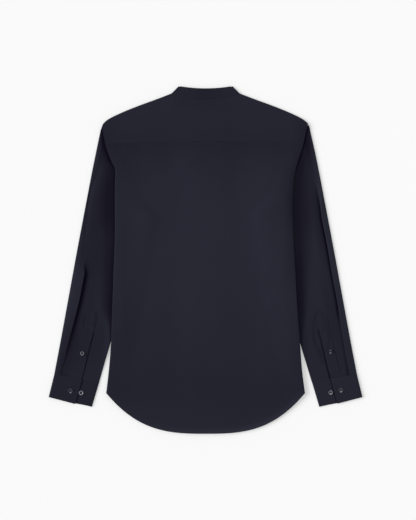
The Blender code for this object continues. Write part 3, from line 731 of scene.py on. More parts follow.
COLLAR_TOP_HALF, COLLAR_TOP_SIDE, COLLAR_TOP_CENTRE, BAND_WALL = 61.5, 399.3, 394.0, 1.3
BAND_LIFT = {"left": 2.3, "right": 3.9}
BAND_TUCKED = 1.2  # how far its lower edge is turned in under the yoke
BAND_FROM, BAND_TO = 5, 103  # angles round the neck where its folded-down part begins and ends
BAND_BACK, BAND_ENDS_IN = 72, 0.82  # half of its laid back, and how far its top stitching reaches
BAND_ROWS = (-0.035, 0.0, 0.035, 0.08, 0.25, 0.45, 0.65, 0.85, 0.94, 0.975, 1.0)


def band_top(x):
    return COLLAR_TOP_CENTRE + (COLLAR_TOP_SIDE - COLLAR_TOP_CENTRE) * (x / NECK_HALF) ** 2


def band_height(share):
    return float(back_height("right", 60.0, NECK_BACK)) - share


def band_side(side, share):
    """From the fold beside the neck, down the front neckline, to the lapped end."""
    sign = SIGN[side]
    out = np.array([COLLAR_TOP_SIDE - NECK_SIDE, NECK_HALF - COLLAR_TOP_HALF])
    out = out / np.hypot(*out)
    high, low = band_height(share), BAND_WALL / 2
    radius = (high - low) / 2
    fold = (
        mix(NECK_HALF - SEAM, COLLAR_TOP_HALF, share), mix(NECK_SIDE + SEAM, COLLAR_TOP_SIDE, share)
    )
    x, y = fold - out * (radius + BAND_WALL / 2)
    points = [
        row_of(sign * x, y, [high]),
        turn(sign * x, y, (sign * out[0], out[1]), high, low, radius, 8),
        row_of(sign * x, y, [low]),
    ]
    angle = np.linspace(BAND_FROM, BAND_TO, 34)
    x, y = neck_point(angle, -SEAM / 2)
    lean = np.radians(180 - angle - 45 * np.maximum(1 - angle / 35, 0) ** 2)
    width = COLLAR_TOP_CENTRE - NECK_BACK
    x, y = x + width * share * np.cos(lean), y + width * share * np.sin(lean)
    points.append(row_of(sign * x, y, low + placket_lift(x, BAND_LIFT[side])))
    return np.concatenate(points)


rows = []
for share in BAND_ROWS:
    x = np.linspace(-BAND_BACK, BAND_BACK, 43)
    y = mix(neck_seam(x) + SEAM / 2, band_top(x), share)
    puff = 0.25 * smooth(min(share, 1 - share) * 6)
    back_part = row_of(mix(x, x * COLLAR_TOP_HALF / NECK_HALF, share), y, band_height(share) + puff)
    row = np.concatenate([band_side("left", share)[::-1], back_part, band_side("right", share)])
    if share < 0:
        middle = (band_height(0) + BAND_WALL / 2) / 2
        row[:, 2] -= BAND_TUCKED * np.clip((row[:, 2] - middle) / 1.6, -1, 1)
    # Painted shade on the band: darker in its middle, darkest on its lower edge tucked under the
    # yoke.
    row[:, 3] = mix(0.7, 0.84, smooth(np.abs(row[:, 0]) / 60)) * (1 if share > 0.03 else 0.55)
    rows.append((0, row))
band = cloth("collar_band_cloth", rows, wall=BAND_WALL)
sewn(band)

# ---- Sleeves ---------------------------------------------------------------------------------
# Each sleeve is one piece, sewn to a tube under the arm. It comes out from between the side
# folds, lies flat, and a pleat taken up at the cuff runs up along its outer edge and dies out.

SLEEVE_OUTER = curve(
    (-261, -208.2, -93.2, 21.9, 136.9, 205.9, 251.9, 300.2),
    (347.4, 337.2, 315.9, 294.9, 273.2, 260, 250.6, 240.6),
)
SLEEVE_TOP_Y, SLEEVE_END_Y, SLEEVE_PIT_Y, SLEEVE_CUFF_Y = 300.2, -261.0, 112.4, -278.3
PLEAT = both(
    (-262, -138, -95, -60, -18, 30, 92, 150, 330),
    (333.4, 301.2, 290.5, 283.4, 276, 273.5, 270.5, 265, 228),
    (330.6, 309, 302.7, 296.2, 288.4, 280.4, 268, 258, 222),
)
FOLDED = {  # how far the pleat is folded over, from 0 to 1
    "left": curve((-262, -56, -34, -16, 5, 115, 330), (1, 1, 0.7, 0.15, 0, 0, 0)),
    "right": curve((-262, -20, 20, 60, 115, 170, 330), (1, 1, 1, 0.8, 0.45, 0, 0)),
}
PLEAT_OVERLAP = 8.0
FOLD_WAY = np.array([-0.97, -0.22])  # direction in which the pleat is folded under
SHOULDER_PATH = {  # points round the shoulder's tip
    "left": [(240.0, 302.6)],
    "right": [(236.7, 311.0), (237.8, 309.0), (238.5, 307.0), (239.1, 303.6)],
}
CAP_IN = {"left": 0, "right": 0.9}  # how far the outer edge lies further in at the shoulder
SLEEVE_CREASES = {
    "left": (
        Crease(-262, 130, -292, -40, 12, 0.5, -3),
        Crease(-262, -60, -282, -190, 9, 1.2, 2),
    ),
    "right": (
        Crease(240, 200, 268, -20, 10, 1.4, 4),
        Crease(262, -40, 296, -200, 12, 1.5, 3),
    ),
}
# Where the cloth is puckered round the end of each gauntlet.
PUCKERS = {
    "left": (
        Crease(-250, -116, -256, -158, 2.6, -1.0, 0),
        Crease(-277, -122, -281, -158, 2.6, -1.0, 0),
    ),
    "right": (
        Crease(257, -116, 260, -212, 2.8, -1.1, 11),
        Crease(261, -114, 283, -202, 3.0, -1.1, -8),
        Crease(259, -200, 272, -240, 4.5, -0.9, 0),
        Crease(267, -138, 274, -166, 3.5, -0.6, 0),
    ),
}
SLEEVE_ROWS = 165
LEAST_STRIP, LEAST_TOP, LEAST_INSIDE = 12, 46, 8  # widths that the parts of a section keep
BROW = 1.3  # radius of the outer edge
# Painted shade on a sleeve's lower wall.
SLEEVE_UNDER_PAINTED_SHADE = 0.7
SEAM_ALLOWANCE, CUFF_MIDDLE = 1.4, 2.3  # how far the end goes into the cuff, and at what height


def path(points):
    """A function that gives the point at a share of the length of a path."""
    points = np.array(points, float)
    reach = np.r_[0, np.cumsum(np.hypot(*np.diff(points, axis=0).T))]

    def at(share):
        share = np.asarray(share) * reach[-1]
        return np.stack([np.interp(share, reach, points[:, k]) for k in (0, 1)], axis=-1)

    return at


def sleeve_plan(side):
    """A function (share across, share along) -> points of the sleeve on the floor plan."""
    edge = BODY_EDGE[side]
    head = (SHOULDER_END[side][0] - 3.5, SHOULDER_END[side][1] - 2.4)
    y = np.linspace(SLEEVE_TOP_Y, SLEEVE_END_Y, 60)
    x = SLEEVE_OUTER(y) - CAP_IN[side] * smooth((y - 240) / 60)
    outer = [head, *SHOULDER_PATH[side], *zip(x, y)]
    y = np.linspace(SLEEVE_PIT_Y, SLEEVE_CUFF_Y, 50)
    inner = list(zip(SLEEVE_INNER[side](y), y))
    angle = np.radians(np.linspace(76, 0, 20))
    y = FOLD_TOP - (FOLD_TOP - PIT) * np.sin(angle)
    rim = [inner[0], *zip(edge(y) - PIT_DEPTH * (1 - np.cos(angle)) - 3, y + 3)]
    rim += [(float(edge(y)) - 3.5, y) for y in np.linspace(220, 290, 8)] + [head]
    cuff = [inner[-1], outer[-1]]
    rim_at, cuff_at, inner_at, outer_at = path(rim), path(cuff), path(inner), path(outer)

    def at(across, along):
        a = np.asarray(across, float)[..., None]
        corners = (
            np.array(rim[0]) * (1 - a) * (1 - along) + np.array(rim[-1]) * a * (1 - along)
            + np.array(cuff[0]) * (1 - a) * along + np.array(cuff[1]) * a * along
        )
        return (
            rim_at(across) * (1 - along) + cuff_at(across) * along
            + inner_at(along**1.25) * (1 - a) + outer_at(1 - (1 - along) ** 1.35) * a - corners
        )

    return at


def on_body(side, x, y):
    return 1 - smooth((np.abs(x) - BODY_EDGE[side](y)) / 18)


def sleeve_under(side, x, y):
    """Height of the middle of a sleeve's lower wall."""
    return CLOTH / 2 + LAYER * on_body(side, x, y) * (1 + on_tuck(side, x, y))


def sleeve_top(side, x, y):
    """The same of its upper wall, which stands a little off the lower one between its edges."""
    x = np.abs(x)
    inner = np.maximum(BODY_EDGE[side](y), SLEEVE_INNER[side](y))
    between = smooth((x - inner - 4) / 45) * smooth((SLEEVE_OUTER(y) - x) / 50)
    lift = creased(SLEEVE_CREASES[side], SIGN[side] * x, y) * smooth((x - inner - 2) / 14)
    lift = lift + 0.4 * creased(PUCKERS[side], SIGN[side] * x, y)
    return sleeve_under(side, x, y) + LAYER + between + lift


# The opening cut up from the cuff, along the inner edge of its gauntlet.
SLIT = both(
    (-261, -207, -158, -118), (281.2, 269, 255.8, 246.5), (284.2, 271.2, 259.7, 250))
# Painted shade in the opening: the height where it begins, and how deep it is.
OPENING_TOP = {"left": -163.0, "right": -157.0}
OPENING_SHADE = {"left": 0.5, "right": 0.92}

# Painted light on the sleeves: how far the painted shade of the valley beside the body reaches
# over each sleeve, how light the sleeve is painted beyond it, and how deep the painted shade
# is under its pleat: at the fold itself, and spread beside it.
PAINTED_VALLEY_REACH = {
    "left": curve(
        (-262, -200, -150, -120, -60, 60, 120, 210, 290), (3, 4, 12, 29, 34, 34, 52, 42, 9)),
    "right": curve(
        (-262, -200, -150, -110, -60, 60, 120, 200, 300), (5, 8, 16, 28, 35, 52, 58, 52, 8)),
}
# How deep the painted shade in the valley beside the body is, up the left sleeve.
VALLEY_SHADE = curve(
    (-262, -150, -110, -60, 60, 150, 250, 300), (0.42, 0.5, 0.62, 0.57, 0.42, 0.54, 0.57, 0.5))
SLEEVE_PAINTED_LIGHT = {
    "left": curve(
        (-262, -200, -130, -60, -20, 50, 90, 150, 220),
        (0.92, 0.87, 0.94, 0.92, 0.85, 0.82, 0.79, 0.86, 0.98)),
    "right": curve(
        (-262, -150, -60, 10, 60, 100, 150, 220),
        (0.92, 0.92, 0.95, 0.97, 0.96, 0.93, 0.95, 0.98)),
}
FOLD_SHADE = {
    "left": curve(
        (-262, -235, -205, -150, -60, -36, -18, 40, 330),
        (-0.22, -0.18, 0, 0.45, 0.9, 0.7, 0.2, 0, 0)),
    "right": curve(
        (-262, -190, -140, -120, -60, 60, 115, 190, 330),
        (0.5, 0.25, 0.4, 0.95, 0.8, 0.85, 0.5, 0, 0)),
}
# How wide the painted shade is at the pleat's fold, and at the armhole.
FOLD_WIDE, ARMHOLE_WIDE = {"left": 7.0, "right": 5.0}, {"left": 4.0, "right": 2.5}
# How much painted light the pleat's strip on top carries, up each sleeve.
STRIP_PAINTED_LIGHT = {
    "left": curve(
        (-262, -190, -130, -90, -20, 40, 90, 130), (0.88, 0.9, 1.0, 1.08, 1.14, 1.12, 1.06, 1.0)),
    "right": curve((-262, -150, -60, 100, 160, 200), (1.1, 1.18, 1.2, 1.25, 1.15, 1.0)),
}
BESIDE_SHADE = {
    "left": curve((-262, -215, -160, -60, -18, 10, 330), (0.32, 0.33, 0.36, 0.3, 0.1, 0, 0)),
    "right": curve((-262, -60, 10, 60, 120, 190, 330), (0, 0.06, 0.15, 0.22, 0.14, 0, 0)),
}


def sleeve_painted_light(side, x, y, pleated=1.0, opened=0.0):
    """Painted light on a sleeve: painted shade in the valley beside the body, and under the pleat.

    The shares are of the brightness seen, which a colour's own value follows by a power.
    """
    x = np.abs(x)
    away = np.maximum(x - BODY_EDGE[side](y), 0) / PAINTED_VALLEY_REACH[side](y)
    if side == "left":
        painted_valley = VALLEY_SHADE(y) * (1 - smooth(0.12 + 0.88 * away))
    else:
        painted_valley = (0.36 - 0.06 * smooth((y + 20) / 60)) * (1 - smooth((away - 0.25) / 0.8))
    fold = np.abs(PLEAT[side](y) - x)
    shade = FOLD_SHADE[side](y) * np.exp(-((fold / FOLD_WIDE[side]) ** 2))
    shade = shade + BESIDE_SHADE[side](y) * np.exp(-fold / 13)
    armhole = 0.85 * smooth((y - 200) / 40) * np.exp(-away * PAINTED_VALLEY_REACH[side](y) / ARMHOLE_WIDE[side])
    # A painted highlight along the outer edge, and painted shade in the opening and the puckers.
    rim = 0.08 * smooth(1 - (SLEEVE_OUTER(y) - x) / 14)
    painted_slit_shade = OPENING_SHADE[side] * smooth((OPENING_TOP[side] - y) / 6)
    painted_slit_shade = painted_slit_shade * np.exp(-(((x - SLIT[side](y) + 1.0) / 1.7) ** 2))
    painted_pucker_shade = 1 + 0.13 * creased(PUCKERS[side], SIGN[side] * x, y)
    seen = (SLEEVE_PAINTED_LIGHT[side](y) + rim) * (1 - painted_valley) * (1 - armhole)
    seen = seen * (1 - pleated * np.clip(shade, -0.4, 0.9)) * (1 - opened * painted_slit_shade) * painted_pucker_shade
    # On the right, a painted highlight on the sleeve just beside the body's edge.
    if side == "right":
        seen = seen * (1 + 0.14 * np.exp(-away * PAINTED_VALLEY_REACH[side](y) / 4))
    return seen**2.2


def crossing(plan, along, line):
    """The share across at which the sleeve passes a line x(y)."""
    share = np.linspace(0, 1, 201)
    points = plan(share, along)
    past = points[:, 0] - line(points[:, 1])
    if not (past > 0).any():
        return 1.0
    k = int(np.argmax(past > 0))
    return float(np.interp(0, past[k - 1:k + 1], share[k - 1:k + 1])) if k else 0.0


def pleat_steps(folded, pressed):
    """(inward, down) points of a pleat from the strip on top to the sleeve under it."""
    most = math.pi * math.sqrt(smooth(folded)) if folded < 1 else math.pi
    flat = PLEAT_OVERLAP * max(folded - 0.6, 0) / 0.4 + 0.4
    bend = [(math.pi * mix(ROLL, 0.53, pressed) / 8, most * (k + 0.5) / 8) for k in range(8)]
    steps = bend + [(flat / 3, most)] * 3 + bend[::-1]
    length, heading = np.array(steps).T
    moves = np.stack([length * np.cos(heading), length * np.sin(heading)], axis=-1)
    return np.concatenate([[[0, 0]], np.cumsum(moves, axis=0)])


def sleeve_ring(side, plan, along):
    """One closed section: under, round the outer edge, the strip, the pleat, the top."""
    sign = SIGN[side]
    width = float(np.hypot(*(plan(1, along) - plan(0, along))))
    inset, outset = (ROLL + CLOTH / 2) / width, (BROW + CLOTH / 2) / width
    pleat = crossing(plan, along, PLEAT[side])
    pleat = min(max(pleat, 0.6), 1 - LEAST_STRIP / width)
    pleat = mix(0.8, pleat, float(smooth((along - 0.06) / 0.16)))
    body = crossing(plan, along, BODY_EDGE[side])
    body = min(max(body, inset + LEAST_INSIDE / width), pleat - LEAST_TOP / width, 0.5)
    across = np.concatenate([np.linspace(inset, body, 14), np.linspace(body, pleat - 0.01, 24)[1:]])
    low = plan(across, along)
    last = plan(1 - outset, along)
    folded = float(np.clip(FOLDED[side](plan(pleat, along)[1]), 0, 1))
    pressed = float(smooth((-195 - last[1]) / 50)) if side == "left" else 0.0
    steps = pleat_steps(folded, pressed)
    start = plan(pleat, along) - FOLD_WAY * steps[:, 0].max()
    drop = steps[-1][1]
    out = plan(1, along) - plan(0.9, along)
    out = out / np.hypot(*out)
    base = float(sleeve_under(side, *last))
    brow = base + LAYER + 1.0 * (1 - float(on_body(side, *last)))
    end = start + FOLD_WAY * steps[-1][0]
    level = float(sleeve_top(side, *end))
    share = np.linspace(0, 1, 12)[1:-1]
    strip = mix(last, start, share[:, None])
    strip_z = mix(brow, level + drop, share) + 0.35 * np.sin(np.pi * share)
    folds = start + FOLD_WAY * steps[:, :1]
    # Painted light of the pleat's strip, with painted shade at its fold end where the cuff presses
    # it.
    strip_painted_light = sleeve_painted_light(side, *strip.T, 0.0) * STRIP_PAINTED_LIGHT[side](last[1])
    strip_painted_light = strip_painted_light * (1 - 0.4 * pressed * share**2)
    fade = smooth(np.linspace(-0.4, 1, len(steps)))
    # Painted light round the fold, from the strip's to the sleeve's, painted lighter where it is
    # pressed.
    fold_painted_light = mix(strip_painted_light[-1], float(sleeve_painted_light(side, *end)), fade)
    fold_painted_light = fold_painted_light * mix(1, 2.2, pressed)
    shares = np.r_[np.linspace(pleat - 0.03, body, 24)[:-1], np.linspace(body, inset, 14)]
    top = plan(shares, along)
    top_z = sleeve_top(side, *top.T)
    centre = plan(inset, along)
    inner_base = float(sleeve_under(side, *centre))
    back_way = plan(0, along) - plan(0.1, along)
    back_way = back_way / np.hypot(*back_way)
    parts = [
        row_of(*low.T, sleeve_under(side, *low.T), SLEEVE_UNDER_PAINTED_SHADE),
        row_of(*last, [base]),
        turn(*last, out, base, brow, (brow - base) / 2, 8),
        row_of(*last, [brow]),
        row_of(*strip.T, strip_z, strip_painted_light),
        row_of(*folds.T, level + drop - steps[:, 1], fold_painted_light),
        row_of(*top.T, top_z, sleeve_painted_light(side, *top.T, opened=1.0)),
        turn(*centre, back_way, top_z[-1], inner_base, ROLL),
    ]
    ring = np.concatenate(parts)
    ring[:, 0] *= sign
    return ring


for side in SIGN:
    plan = sleeve_plan(side)
    rows = [(0, sleeve_ring(side, plan, along)) for along in np.linspace(0, 1, SLEEVE_ROWS)]
    held = rows[-1][1].copy()
    held[:, :2] += np.array([SIGN[side] * 0.26, -0.97]) * SEAM_ALLOWANCE
    held[:, 2] = mix(held[:, 2], CUFF_MIDDLE, 0.5)
    rows.append((0, held))
    sleeve = cloth(side + "_sleeve_cloth", rows, ring=True)
    sewn(sleeve)

# ---- Cuffs -----------------------------------------------------------------------------------
# A firm doubled cuff round the end of each sleeve, lapped and buttoned. The upper end lies over
# the lower one, which shows beside it, and both ends carry a button.

CUFF_TOP = np.array([(243.7, -279.0), (347.6, -261.6)])
CUFF_END = np.array([(262.0, -340.4), (360.6, -314.6)])
CUFF_WALL, CUFF_LEVEL, CUFF_SHORTER = 1.4, 1.7, 0.95
CUFF_LAP_FROM = {"left": 0.381, "right": 0.413}
CUFF_FOLDS = 0.016, 0.974  # shares across at which it folds
# Painted shade: the left cuff is painted darker than the right, and each beside its lap's edge.
CUFF_PAINTED_LIGHT, LAP_SHADE = {"left": 0.76, "right": 0.9}, {"left": 0.4, "right": 0.8}
BESIDE_LAP = np.array((-0.04, -0.025, -0.012, -0.004, 0.01))  # columns close to the lap's edge
CUFF_ROWS = (0.0, 0.02, 0.045, 0.09, 0.2, 0.35, 0.5, 0.65, 0.8, 0.9, 0.955, 0.98, 1.0)


def cuff_point(across, down):
    across, down = np.asarray(across, float)[..., None], np.asarray(down, float)[..., None]
    return mix(mix(*CUFF_TOP, across), mix(*CUFF_END, across), down)


under, lower, upper = (CUFF_WALL / 2 + CUFF_LEVEL * level for level in range(3))
for side in SIGN:
    rows, lap = [], CUFF_LAP_FROM[side]
    inner, outer = CUFF_FOLDS
    for down in CUFF_ROWS:
        shorter = mix(1, CUFF_SHORTER, down)
        puff = 0.3 * float(smooth(min(down, 1 - down) * 7))
        a = np.sort(np.r_[np.linspace(0.86, inner, 24), lap + BESIDE_LAP])[::-1]
        p = cuff_point(a, down * shorter)
        # Painted shade on the lower end, beside the edge of the lap over it.
        painted_lap_shade = LAP_SHADE[side] * np.exp(-(((a - lap + 0.004) / 0.018) ** 2))
        points = [row_of(*p.T, lower + puff * 0.6, CUFF_PAINTED_LIGHT[side] * (1 - painted_lap_shade))]
        p = cuff_point(inner, down * shorter)
        points.append(turn(*p, (-1, -0.1), lower, under, (lower - under) / 2))
        b = np.linspace(inner, outer, 28)
        p = cuff_point(b, down * mix(shorter, 1, smooth(b * 1.5)))
        points.append(row_of(*p.T, under))
        p = cuff_point(outer, down)
        points.append(turn(*p, (1, 0.2), under, upper, (upper - under) / 2, 8))
        p = cuff_point(np.linspace(outer, lap, 20), down)
        points.append(row_of(*p.T, upper + puff))
        row = np.concatenate(points)
        row[:, 0] *= SIGN[side]
        row[len(a):, 3] = CUFF_PAINTED_LIGHT[side]
        rows.append((0, row))
    cuff = cloth(side + "_cuff_cloth", rows, wall=CUFF_WALL)
    sewn(cuff)

# ---- Gauntlets -------------------------------------------------------------------------------
# A placket strip on each sleeve beside its opening, with a shallow point at its top. It is sewn
# down along its edges and across above the end of the opening.

GAUNTLET_WIDTH, GAUNTLET_TOP, GAUNTLET_POINT, GAUNTLET_WALL = 24.5, -127.0, -118.0, 0.7
GAUNTLET_FOOT, CUFF_SLOPE = -262.2, 0.17  # where it meets the cuff, and the rise of that seam

for side in SIGN:
    rows = []
    for y in np.linspace(GAUNTLET_FOOT, GAUNTLET_TOP, 44):
        share = np.linspace(0, 1, 13)
        x = float(SLIT[side](y)) + GAUNTLET_WIDTH * share
        rise = (GAUNTLET_POINT - GAUNTLET_TOP) * (1 - np.abs(2 * share - 1)) ** 0.8
        over = y + rise * smooth((y - GAUNTLET_TOP + 24) / 24)
        over = over + CUFF_SLOPE * (x - 281) * smooth((-240 - y) / 22)
        z = sleeve_top(side, x, over) + (CLOTH + GAUNTLET_WALL) / 2 + 0.1
        # The gauntlet carries the painted light of the sleeve under it.
        rows.append((0, row_of(SIGN[side] * x, over, z, sleeve_painted_light(side, x, over))))
    gauntlet = cloth(side + "_gauntlet_cloth", rows, wall=GAUNTLET_WALL)
    sewn(gauntlet)

# ---- Stitching -------------------------------------------------------------------------------
# Navy thread, sewn in a straight lockstitch along the hems and the yoke seams, and round the band,
# the placket, the cuffs and the gauntlets. The thread stands half out of the cloth.

STITCH_PITCH, STITCH_LENGTH, THREAD = 2.6, 2.1, 0.16
THREAD_OUT = 0.3  # how far its middle stands out of the cloth, as a share of its thickness
CLEAR = 0.05  # a height well above all the cloth, in metres
HEM_STITCH, EDGE_STITCH = 6.0, 1.8  # distances of the thread from a hem, and from a seam
BAND_STITCH = 22.6  # its distance from the band's lower edge
PLACKET_STITCH = 12.0  # its distance from the placket's middle
BARS = -156, -153.5  # heights of the two lines sewn across each gauntlet
CUFF_DEPTH = 62.0
TOP_INSET, END_INSET = 2.2 / CUFF_DEPTH, 5.5 / CUFF_DEPTH  # the same on a cuff, as shares of it

thread = Finish("navy_thread")
ply = thread.noise(thread.place(), 2500.0, 2.0)
thread.set(
    Base_Color=thread.ramp(ply, (0.3, (0.014, 0.014, 0.026)), (0.7, (0.026, 0.026, 0.042))),
    Roughness=ply * 0.15 + 0.55,
    Specular_IOR_Level=0.25,
    Normal=thread.bump(ply, 0.4, 0.00005),
)


def stitch_tree():
    """A tree that sews along the edges of a mesh, with its sizes as inputs."""
    tree = bpy.data.node_groups.new("lockstitch", "GeometryNodeTree")
    face = tree.interface
    face.new_socket("Path", in_out="INPUT", socket_type="NodeSocketGeometry")
    for name, value in (
        ("Pitch", STITCH_PITCH * MM), ("Length", STITCH_LENGTH * MM), ("Thread", THREAD * MM),
        ("Turn", 0.0),
    ):
        face.new_socket(name, in_out="INPUT", socket_type="NodeSocketFloat").default_value = value
    face.new_socket("Sewn", in_out="OUTPUT", socket_type="NodeSocketGeometry")
    node = {name: tree.nodes.new(kind) for name, kind in (
        ("given", "NodeGroupInput"),
        ("line", "GeometryNodeMeshToCurve"),
        ("even", "GeometryNodeResampleCurve"),
        ("stitch", "GeometryNodeMeshUVSphere"),
        ("halved", "ShaderNodeMath"),
        ("size", "ShaderNodeCombineXYZ"),
        ("along", "GeometryNodeInputTangent"),
        ("aligned", "FunctionNodeAlignRotationToVector"),
        ("angle", "ShaderNodeCombineXYZ"),
        ("quarter", "FunctionNodeEulerToRotation"),
        ("turned", "FunctionNodeRotateRotation"),
        ("copies", "GeometryNodeInstanceOnPoints"),
        ("real", "GeometryNodeRealizeInstances"),
        ("smooth", "GeometryNodeSetShadeSmooth"),
        ("finish", "GeometryNodeSetMaterial"),
        ("sewn", "NodeGroupOutput"),
    )}
    node["even"].mode = "LENGTH"
    node["halved"].operation = "MULTIPLY"
    node["aligned"].axis = "X"
    node["turned"].rotation_space = "LOCAL"
    for name, socket, value in (
        ("stitch", "Segments", 6), ("stitch", "Rings", 5), ("stitch", "Radius", 1.0),
        ("halved", 1, 0.5), ("finish", "Material", thread.material),
    ):
        node[name].inputs[socket].default_value = value
    for start, out, end, into in (
        ("given", "Path", "line", 0),
        ("line", 0, "even", "Curve"),
        ("given", "Pitch", "even", "Length"),
        ("given", "Length", "halved", 0),
        ("halved", 0, "size", "X"),
        ("given", "Thread", "size", "Y"),
        ("given", "Thread", "size", "Z"),
        ("along", 0, "aligned", "Vector"),
        ("given", "Turn", "angle", "Z"),
        ("angle", 0, "quarter", 0),
        ("aligned", 0, "turned", "Rotation"),
        ("quarter", 0, "turned", "Rotate By"),
        ("even", 0, "copies", "Points"),
        ("stitch", "Mesh", "copies", "Instance"),
        ("turned", 0, "copies", "Rotation"),
        ("size", 0, "copies", "Scale"),
        ("copies", 0, "real", 0),
        ("real", 0, "smooth", 0),
        ("smooth", 0, "finish", 0),
        ("finish", 0, "sewn", 0),
    ):
        tree.links.new(node[start].outputs[out], node[end].inputs[into])
    return tree


lockstitch = stitch_tree()
socket_of = {item.name: item.identifier for item in lockstitch.interface.items_tree}


def surface_of(piece):
    return BVHTree.FromPolygons(
        [v.co for v in piece.data.vertices], [tuple(p.vertices) for p in piece.data.polygons]
    )


def dropped(surface, places, below=False):
    """Points of the cloth over (or under) places on the floor plan, in metres."""
    way = 1 if below else -1
    found = []
    for x, y in places:
        hit = surface.ray_cast(Vector((x * MM, y * MM, -way * CLEAR)), Vector((0, 0, way)))[0]
        if hit is not None:
            found.append(hit + Vector((0, 0, -way * THREAD * MM * THREAD_OUT)))
    return found


def stitched(name, lines, pitch=STITCH_PITCH, length=STITCH_LENGTH, turn_by=0.0, thick=THREAD):
    """Sews along lines of points, all in one piece."""
    points, edges = [], []
    for line in lines:
        edges += [(len(points) + i, len(points) + i + 1) for i in range(len(line) - 1)]
        points += line
    mesh = bpy.data.meshes.new(name)
    mesh.from_pydata(points, edges, [])
    piece = put(name, mesh)
    sewing = piece.modifiers.new("sewing", "NODES")
    sewing.node_group = lockstitch
    for socket, value in (
        ("Pitch", pitch * MM), ("Length", length * MM), ("Thread", thick * MM), ("Turn", turn_by)
    ):
        sewing[socket_of[socket]] = value
    plain(piece)
    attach(piece, "root")
    return piece


def between(a, b, steps=60):
    return list(mix(np.array(a, float), np.array(b, float), np.linspace(0, 1, steps)[:, None]))


def hem_line(start, end, inside):
    x = np.linspace(start, end, 220)
    slope = hem_slope(x)
    size = np.hypot(slope, 1)
    return list(np.stack([x - slope / size * inside, hem(x) + inside / size], axis=-1))


back_skin, yoke_skin, band_skin = surface_of(back), surface_of(yoke), surface_of(band)
stitched("back_hem_stitches", [dropped(back_skin, hem_line(-216, 216, HEM_STITCH))])
x = np.linspace(-224, 219, 160)
yoke_lines = [dropped(yoke_skin, np.stack([x, yoke_seam(x) + EDGE_STITCH], axis=-1))]
for side, x in (("left", np.linspace(76, 219, 60)), ("right", np.linspace(76, 215, 60))):
    line = np.stack([SIGN[side] * x, front_yoke_seam(side, x) + EDGE_STITCH], axis=-1)
    yoke_lines.append(dropped(yoke_skin, line, True))
stitched("yoke_seam_stitches", yoke_lines)
x = np.linspace(-70, 70, 60)
stitched("collar_stitches", [
    dropped(band_skin, np.stack([x, neck_seam(x) + EDGE_STITCH], axis=-1)),
    dropped(band_skin, np.stack([x * BAND_ENDS_IN, band_top(x) - EDGE_STITCH], axis=-1)),
    *(
        dropped(band_skin, [
            (SIGN[side] * (px + width * math.cos(lean)), py + width * math.sin(lean))
            for angle in np.linspace(14, 98, 50)
            for (px, py), lean in [(neck_point(angle, -SEAM / 2), math.radians(180 - angle))]
        ], True)
        for side in SIGN for width in (EDGE_STITCH, BAND_STITCH)
    ),
])

for side, front_of in (("left", "left_front_cloth"), ("right", "right_front_cloth")):
    skin = surface_of(bpy.data.objects[front_of])
    ends = (-216, -PLACKET / 2 - 1) if side == "left" else (-PLACKET / 2 + 2, 216)
    stitched(side + "_front_hem_stitches", [dropped(skin, hem_line(*ends, HEM_STITCH), True)])

skin = surface_of(placket)
stitched("placket_stitches", [
    dropped(skin, between((x, float(front_top("left", 0)) - 3), (x, float(hem(0)) + 2), 160), True)
    for x in (-PLACKET_STITCH, PLACKET_STITCH)
])

for side in SIGN:
    sign = SIGN[side]
    skin = surface_of(bpy.data.objects[side + "_cuff_cloth"])
    lap = CUFF_LAP_FROM[side]

    def on_cuff(*corners):
        return dropped(skin, [
            (sign * p[0], p[1])
            for a, b in zip(corners, corners[1:])
            for p in cuff_point(*np.array(between(a, b, 40)).T)
        ])

    top, end, lower_end = TOP_INSET, 1 - END_INSET, 0.95 - END_INSET
    stitched(side + "_cuff_stitches", [
        on_cuff((0.965, top), (lap + 0.02, top), (lap + 0.02, end), (0.965, end)),
        on_cuff((lap - 0.02, top), (0.03, top)),
        on_cuff((0.03, lower_end), (lap - 0.02, lower_end)),
    ])
    skin = surface_of(bpy.data.objects[side + "_gauntlet_cloth"])

    def strip(share, y):
        return sign * (float(SLIT[side](y)) + GAUNTLET_WIDTH * share), y

    y = np.linspace(-259, -130, 70)
    round_edge = [strip(0.07, v) for v in y] + [strip(0.5, -120.8)]
    round_edge += [strip(0.93, v) for v in y[::-1]]
    stitched(side + "_gauntlet_stitches", [
        dropped(skin, round_edge),
        *(dropped(skin, between(strip(0.08, v), strip(0.92, v), 12)) for v in BARS),
    ])

# The buttonholes: a slot edged all round with close stitches that cross its edge.
Buttonhole = namedtuple("Buttonhole", "piece node long across under")
HOLE_LONG, HOLE_WIDE = 13.0, 1.8
EDGING_PITCH, EDGING_LENGTH, EDGING_THREAD = 0.42, 1.5, 0.2
buttonholes = [
    Buttonhole("placket", f"front_button_{k}", HOLE_LONG, (1.0, 0.0), True) for k in range(1, 8)
] + [
    Buttonhole("band", "collar_button", HOLE_LONG, (0.0, 1.0), True),
    Buttonhole("left_cuff", "left_cuff_button_1", HOLE_LONG, (0.254, 0.967), False),
    Buttonhole("right_cuff", "right_cuff_button_1", HOLE_LONG, (-0.254, 0.967), False),
    Buttonhole("left_gauntlet", "left_gauntlet_button", HOLE_LONG - 2, (0.97, 0.24), False),
    Buttonhole("right_gauntlet", "right_gauntlet_button", HOLE_LONG - 2, (0.97, -0.24), False),
]
skins = {"placket": surface_of(placket), "band": band_skin}
for side in SIGN:
    for kind in ("cuff", "gauntlet"):
        skins[f"{side}_{kind}"] = surface_of(bpy.data.objects[f"{side}_{kind}_cloth"])
